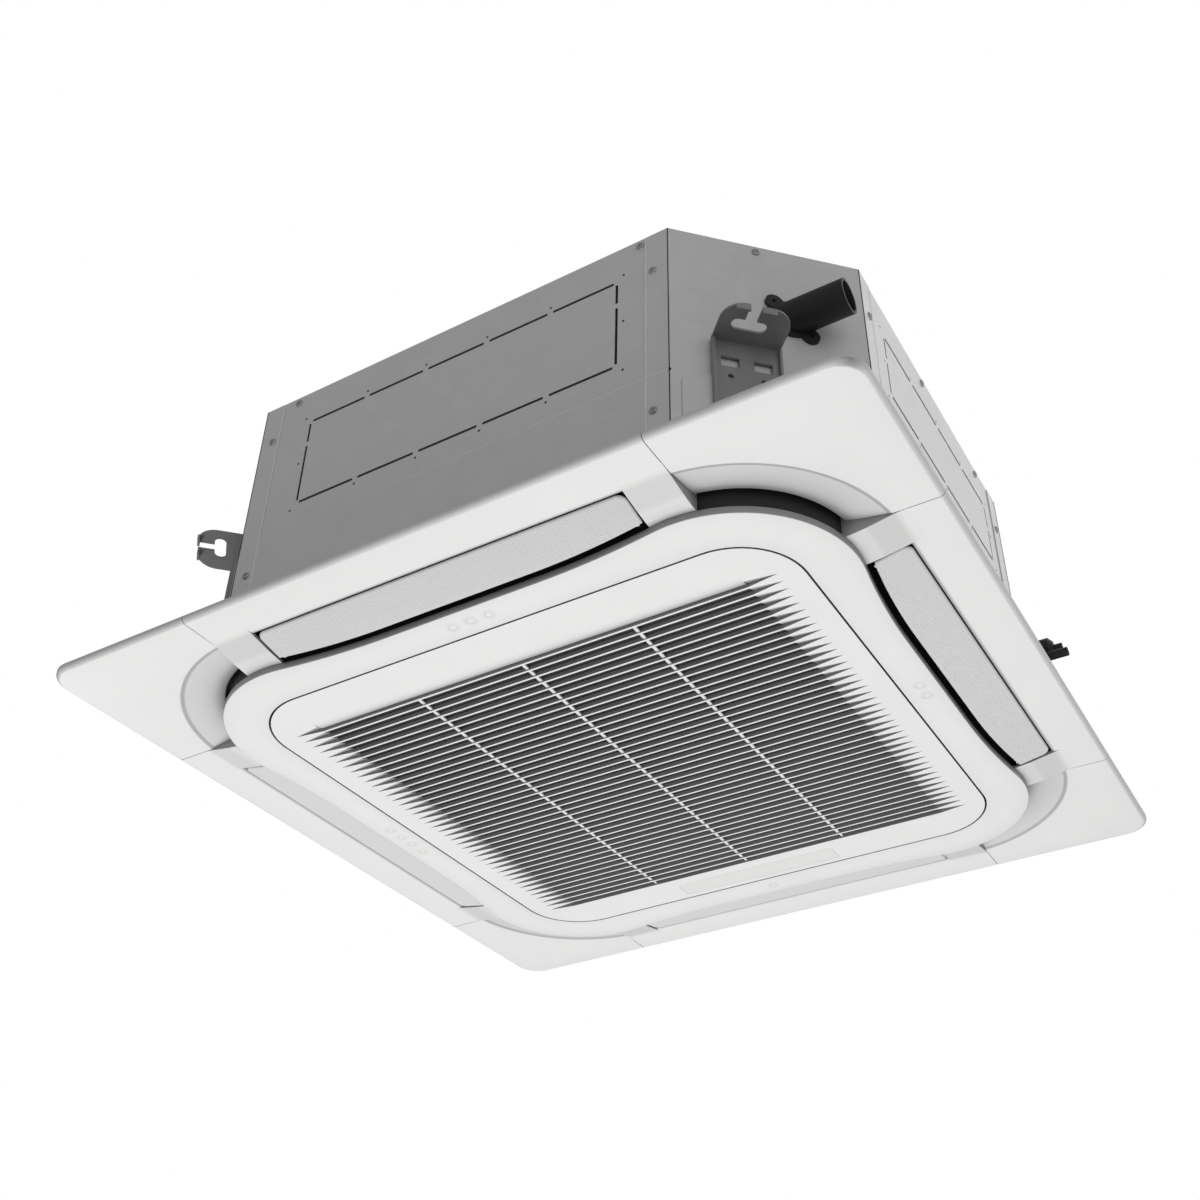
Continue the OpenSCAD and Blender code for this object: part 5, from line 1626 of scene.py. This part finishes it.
class Finishes:
    """The unit's finishes, made once and shared."""

    def __init__(self) -> None:
        """Build every material."""
        white, steel = (0.80, 0.80, 0.797), (0.77, 0.77, 0.77)
        # Both white mouldings carry painted shade in their recesses and on upright faces.
        self.white = Moulding("white_moulding", white, recess_shade=0.5, upright_shade=0.5).build()
        self.ring_white = Moulding("ring_moulding", white, recess_shade=0.5, upright_shade=0.6).build()
        self.window = Moulding("window_plastic", (0.77, 0.77, 0.765), 0.22, 0.004, 900.0, 0.01).build()
        self.dark_plastic = Moulding("fan_plastic", (0.06, 0.065, 0.07), 0.45, 0.03, 700.0, 0.2).build()
        self.black = Moulding("black_plastic", (0.014, 0.014, 0.015), 0.55, 0.04, 600.0, 0.3).build()
        self.filter_plastic = Moulding("filter_plastic", (0.05, 0.05, 0.055), 0.5, 0.03, 700.0, 0.2).build()
        self.net = Moulding("filter_thread", (0.10, 0.10, 0.104), 0.6, 0.02, 1500.0, 0.25).build()
        self.bush = Moulding("bush_plastic", (0.72, 0.72, 0.70), 0.4).build()
        self.float_foam = Foam("float_foam", (0.75, 0.55, 0.16), 700.0).build()
        self.flap = Flocked().build()
        # Painted shade: the duct plastic and the foam are dark to stand for the shade inside the unit.
        self.duct = Moulding("dark_shade_duct_plastic", (0.022, 0.022, 0.023), 0.6, 0.03, 700.0, 0.3).build()
        self.shade_dark_foam = Foam("shade_dark_foam", (0.03, 0.03, 0.031)).build()
        self.casing = Sheet("casing_steel", steel, 0.25).build()
        # Painted shade on the sides' level faces, such as the walls of the slits.
        self.sides = Sheet("side_steel", steel, 0.25, cut=0.93).build()
        # Painted highlight: a pale non-metal steel for the beads on the hem and the flanges' edges.
        self.hem = Sheet("painted_highlight_steel", (0.95, 0.95, 0.95), 0.0).build()
        self.box = Sheet("box_steel", (0.60, 0.61, 0.61), 0.6, 0.35, 70.0, 0.15).build()
        self.motor = Sheet("motor_paint", (0.05, 0.052, 0.056), 0.2, 0.45, 40.0, 0.15).build()
        self.zinc = Metal("hanger_zinc", (0.34, 0.34, 0.338), 0.42, 0.3, (1, 1, 5)).build()
        self.screw = Metal("screw_zinc", (0.48, 0.48, 0.47), 0.3, 0.8).build()
        self.steel = Metal("bright_steel", (0.62, 0.61, 0.60), 0.24, 1.0, (1, 1, 20)).build()
        stain = (0.45, 0.20, 0.11)
        self.copper = Metal("copper_tube", (0.72, 0.36, 0.20), 0.3, 1.0, (1, 1, 8), stain).build()
        self.fins = Fins().build()
        self.board = Board().build()

    def dress_nodes(self) -> None:
        """Give every CAD node its finish, hidden ones too."""
        dress("front_plate right_plate rear_plate left_plate", self.sides)
        dress("top_plate pipe_cover motor_mount front_left_corner_plate front_right_corner_plate "
              "rear_left_corner_plate", self.casing)
        dress("front_left_hanger front_right_hanger rear_right_hanger rear_left_hanger", self.zinc)
        dress("casing_screws panel_screws", self.screw)
        dress("drain_socket gas_union liquid_union pump_hose drain_pump catch_housings", self.black)
        # Painted shade: liner and pan are dark to stand for the shade behind the slits and slots.
        dress("foam_liner drain_pan", self.shade_dark_foam)
        dress("heat_exchanger", self.fins)
        dress("coil_bends gas_pipe liquid_pipe", self.copper)
        dress("fan_hub fan_blades fan_shroud bell_mouth", self.dark_plastic)
        dress("fan_motor flap_motors", self.motor)
        dress("motor_shaft fan_nut hinge_arms left_catch right_catch", self.steel)
        dress("control_box control_lid", self.box)
        dress("circuit_board receiver_board", self.board)
        dress("panel_frame intake_ring intake_grille front_left_cover front_right_cover rear_right_cover "
              "rear_left_cover", self.white)
        dress("front_flap right_flap rear_flap left_flap", self.flap)
        dress("flap_bushes float_stem", self.bush)
        dress("filter_frame filter_mesh", self.filter_plastic)
        dress("display_window", self.window)
        dress("float", self.float_foam)


# Studio


@dataclass(frozen=True)
class Lamp:
    """A square soft light that points at the unit and isn't seen itself: metres and watts."""

    name: str
    at: Point
    size: float
    watts: float

    def build(self) -> None:
        """Add the light."""
        data = bpy.data.lights.new(self.name, "AREA")
        data.size, data.energy = self.size, self.watts
        obj = bpy.data.objects.new(self.name, data)
        obj.visible_camera = False
        bpy.context.scene.collection.objects.link(obj)
        obj.location = self.at
        obj.rotation_euler = (-Vector(self.at)).to_track_quat("-Z", "Y").to_euler()


@dataclass
class Studio:
    """Camera of the photograph, soft lights, a pale floor and a pale surround; sizes in metres."""

    eye: Point = (0.7387, -1.2800, -1.0594)
    azimuth: float = 30.0
    elevation: float = -35.45
    sensor: float = 36.0
    lens: float = 43.632
    shift: tuple[float, float] = (-0.03617, 0.03058)
    clip: tuple[float, float] = (0.05, 60.0)
    floor_z: float = -2.75
    floor_half: float = 6.0
    seen_light: float = 1.0
    soft_light: float = 0.30
    lamps: tuple[Lamp, ...] = (
        Lamp("under_light", (0.0, 0.0, -2.6), 3.0, 56.0),
        Lamp("side_light", (2.6, -1.9, 0.4), 2.0, 12.0),
        Lamp("left_light", (-2.6, 0.3, -1.0), 1.2, 14.0),
        Lamp("right_light", (1.5, 2.6, 2.1), 4.0, 48.0),
        Lamp("top_light", (-0.8, 1.6, 2.4), 2.0, 20.0),
    )

    def camera(self) -> None:
        """Put the camera where the photograph was taken from."""
        az, el = math.radians(self.azimuth), math.radians(self.elevation)
        ahead = -Vector((math.sin(az) * math.cos(el), -math.cos(az) * math.cos(el), math.sin(el)))
        data = bpy.data.cameras.new("photo_camera")
        data.sensor_width, data.lens = self.sensor, self.lens
        data.shift_x, data.shift_y = self.shift
        data.clip_start, data.clip_end = self.clip
        obj = bpy.data.objects.new("photo_camera", data)
        bpy.context.scene.collection.objects.link(obj)
        obj.location = self.eye
        obj.rotation_euler = ahead.to_track_quat("-Z", "Y").to_euler()
        bpy.context.scene.camera = obj

    def surround(self) -> None:
        """A pale surround: white where it is seen, softer where it lights the unit."""
        world = bpy.data.worlds.new("surround")
        bpy.context.scene.world = world
        world.use_nodes = True
        tree = world.node_tree
        tree.nodes.clear()
        path, mix = tree.nodes.new("ShaderNodeLightPath"), tree.nodes.new("ShaderNodeMixShader")
        for place, strength in ((1, self.soft_light), (2, self.seen_light)):
            light = tree.nodes.new("ShaderNodeBackground")
            light.inputs["Color"].default_value = (1, 1, 1, 1)
            light.inputs["Strength"].default_value = strength
            tree.links.new(light.outputs[0], mix.inputs[place])
        out = tree.nodes.new("ShaderNodeOutputWorld")
        tree.links.new(path.outputs["Is Camera Ray"], mix.inputs[0])
        tree.links.new(mix.outputs[0], out.inputs[0])

    def floor(self) -> None:
        """A plain pale floor far below the unit."""
        s = self.floor_half / MM
        loop = np.array([[-s, -s, 0], [s, -s, 0], [s, s, 0], [-s, s, 0]], float) + [0, 0, self.floor_z / MM]
        obj = Shell().cap(loop).piece("floor")
        obj.data.materials.append(Moulding("pale_floor", (0.80, 0.80, 0.79), 0.6).build())

    def build(self) -> None:
        """Set up the whole studio."""
        self.camera()
        self.surround()
        self.floor()
        for lamp in self.lamps:
            lamp.build()
        bpy.context.scene.view_settings.view_transform = "Standard"


def main() -> None:
    """Build the studio and every sub-assembly, and report each piece."""
    logging.basicConfig(level=logging.INFO, format="%(message)s")
    finishes = Finishes()
    finishes.dress_nodes()
    Studio().build()
    CornerCover(finishes.white).build()
    PanelFrame(finishes.white, finishes.duct).build()
    IntakeRing(finishes.ring_white, finishes.duct).build()
    Flap(finishes.flap).build()
    FilterNet(finishes.net).build()
    GrilleRibs(finishes.white).build()
    Screws(finishes.screw).build()
    CasingSeams(finishes.hem, finishes.duct).build()


if __name__ == "__main__":
    main()
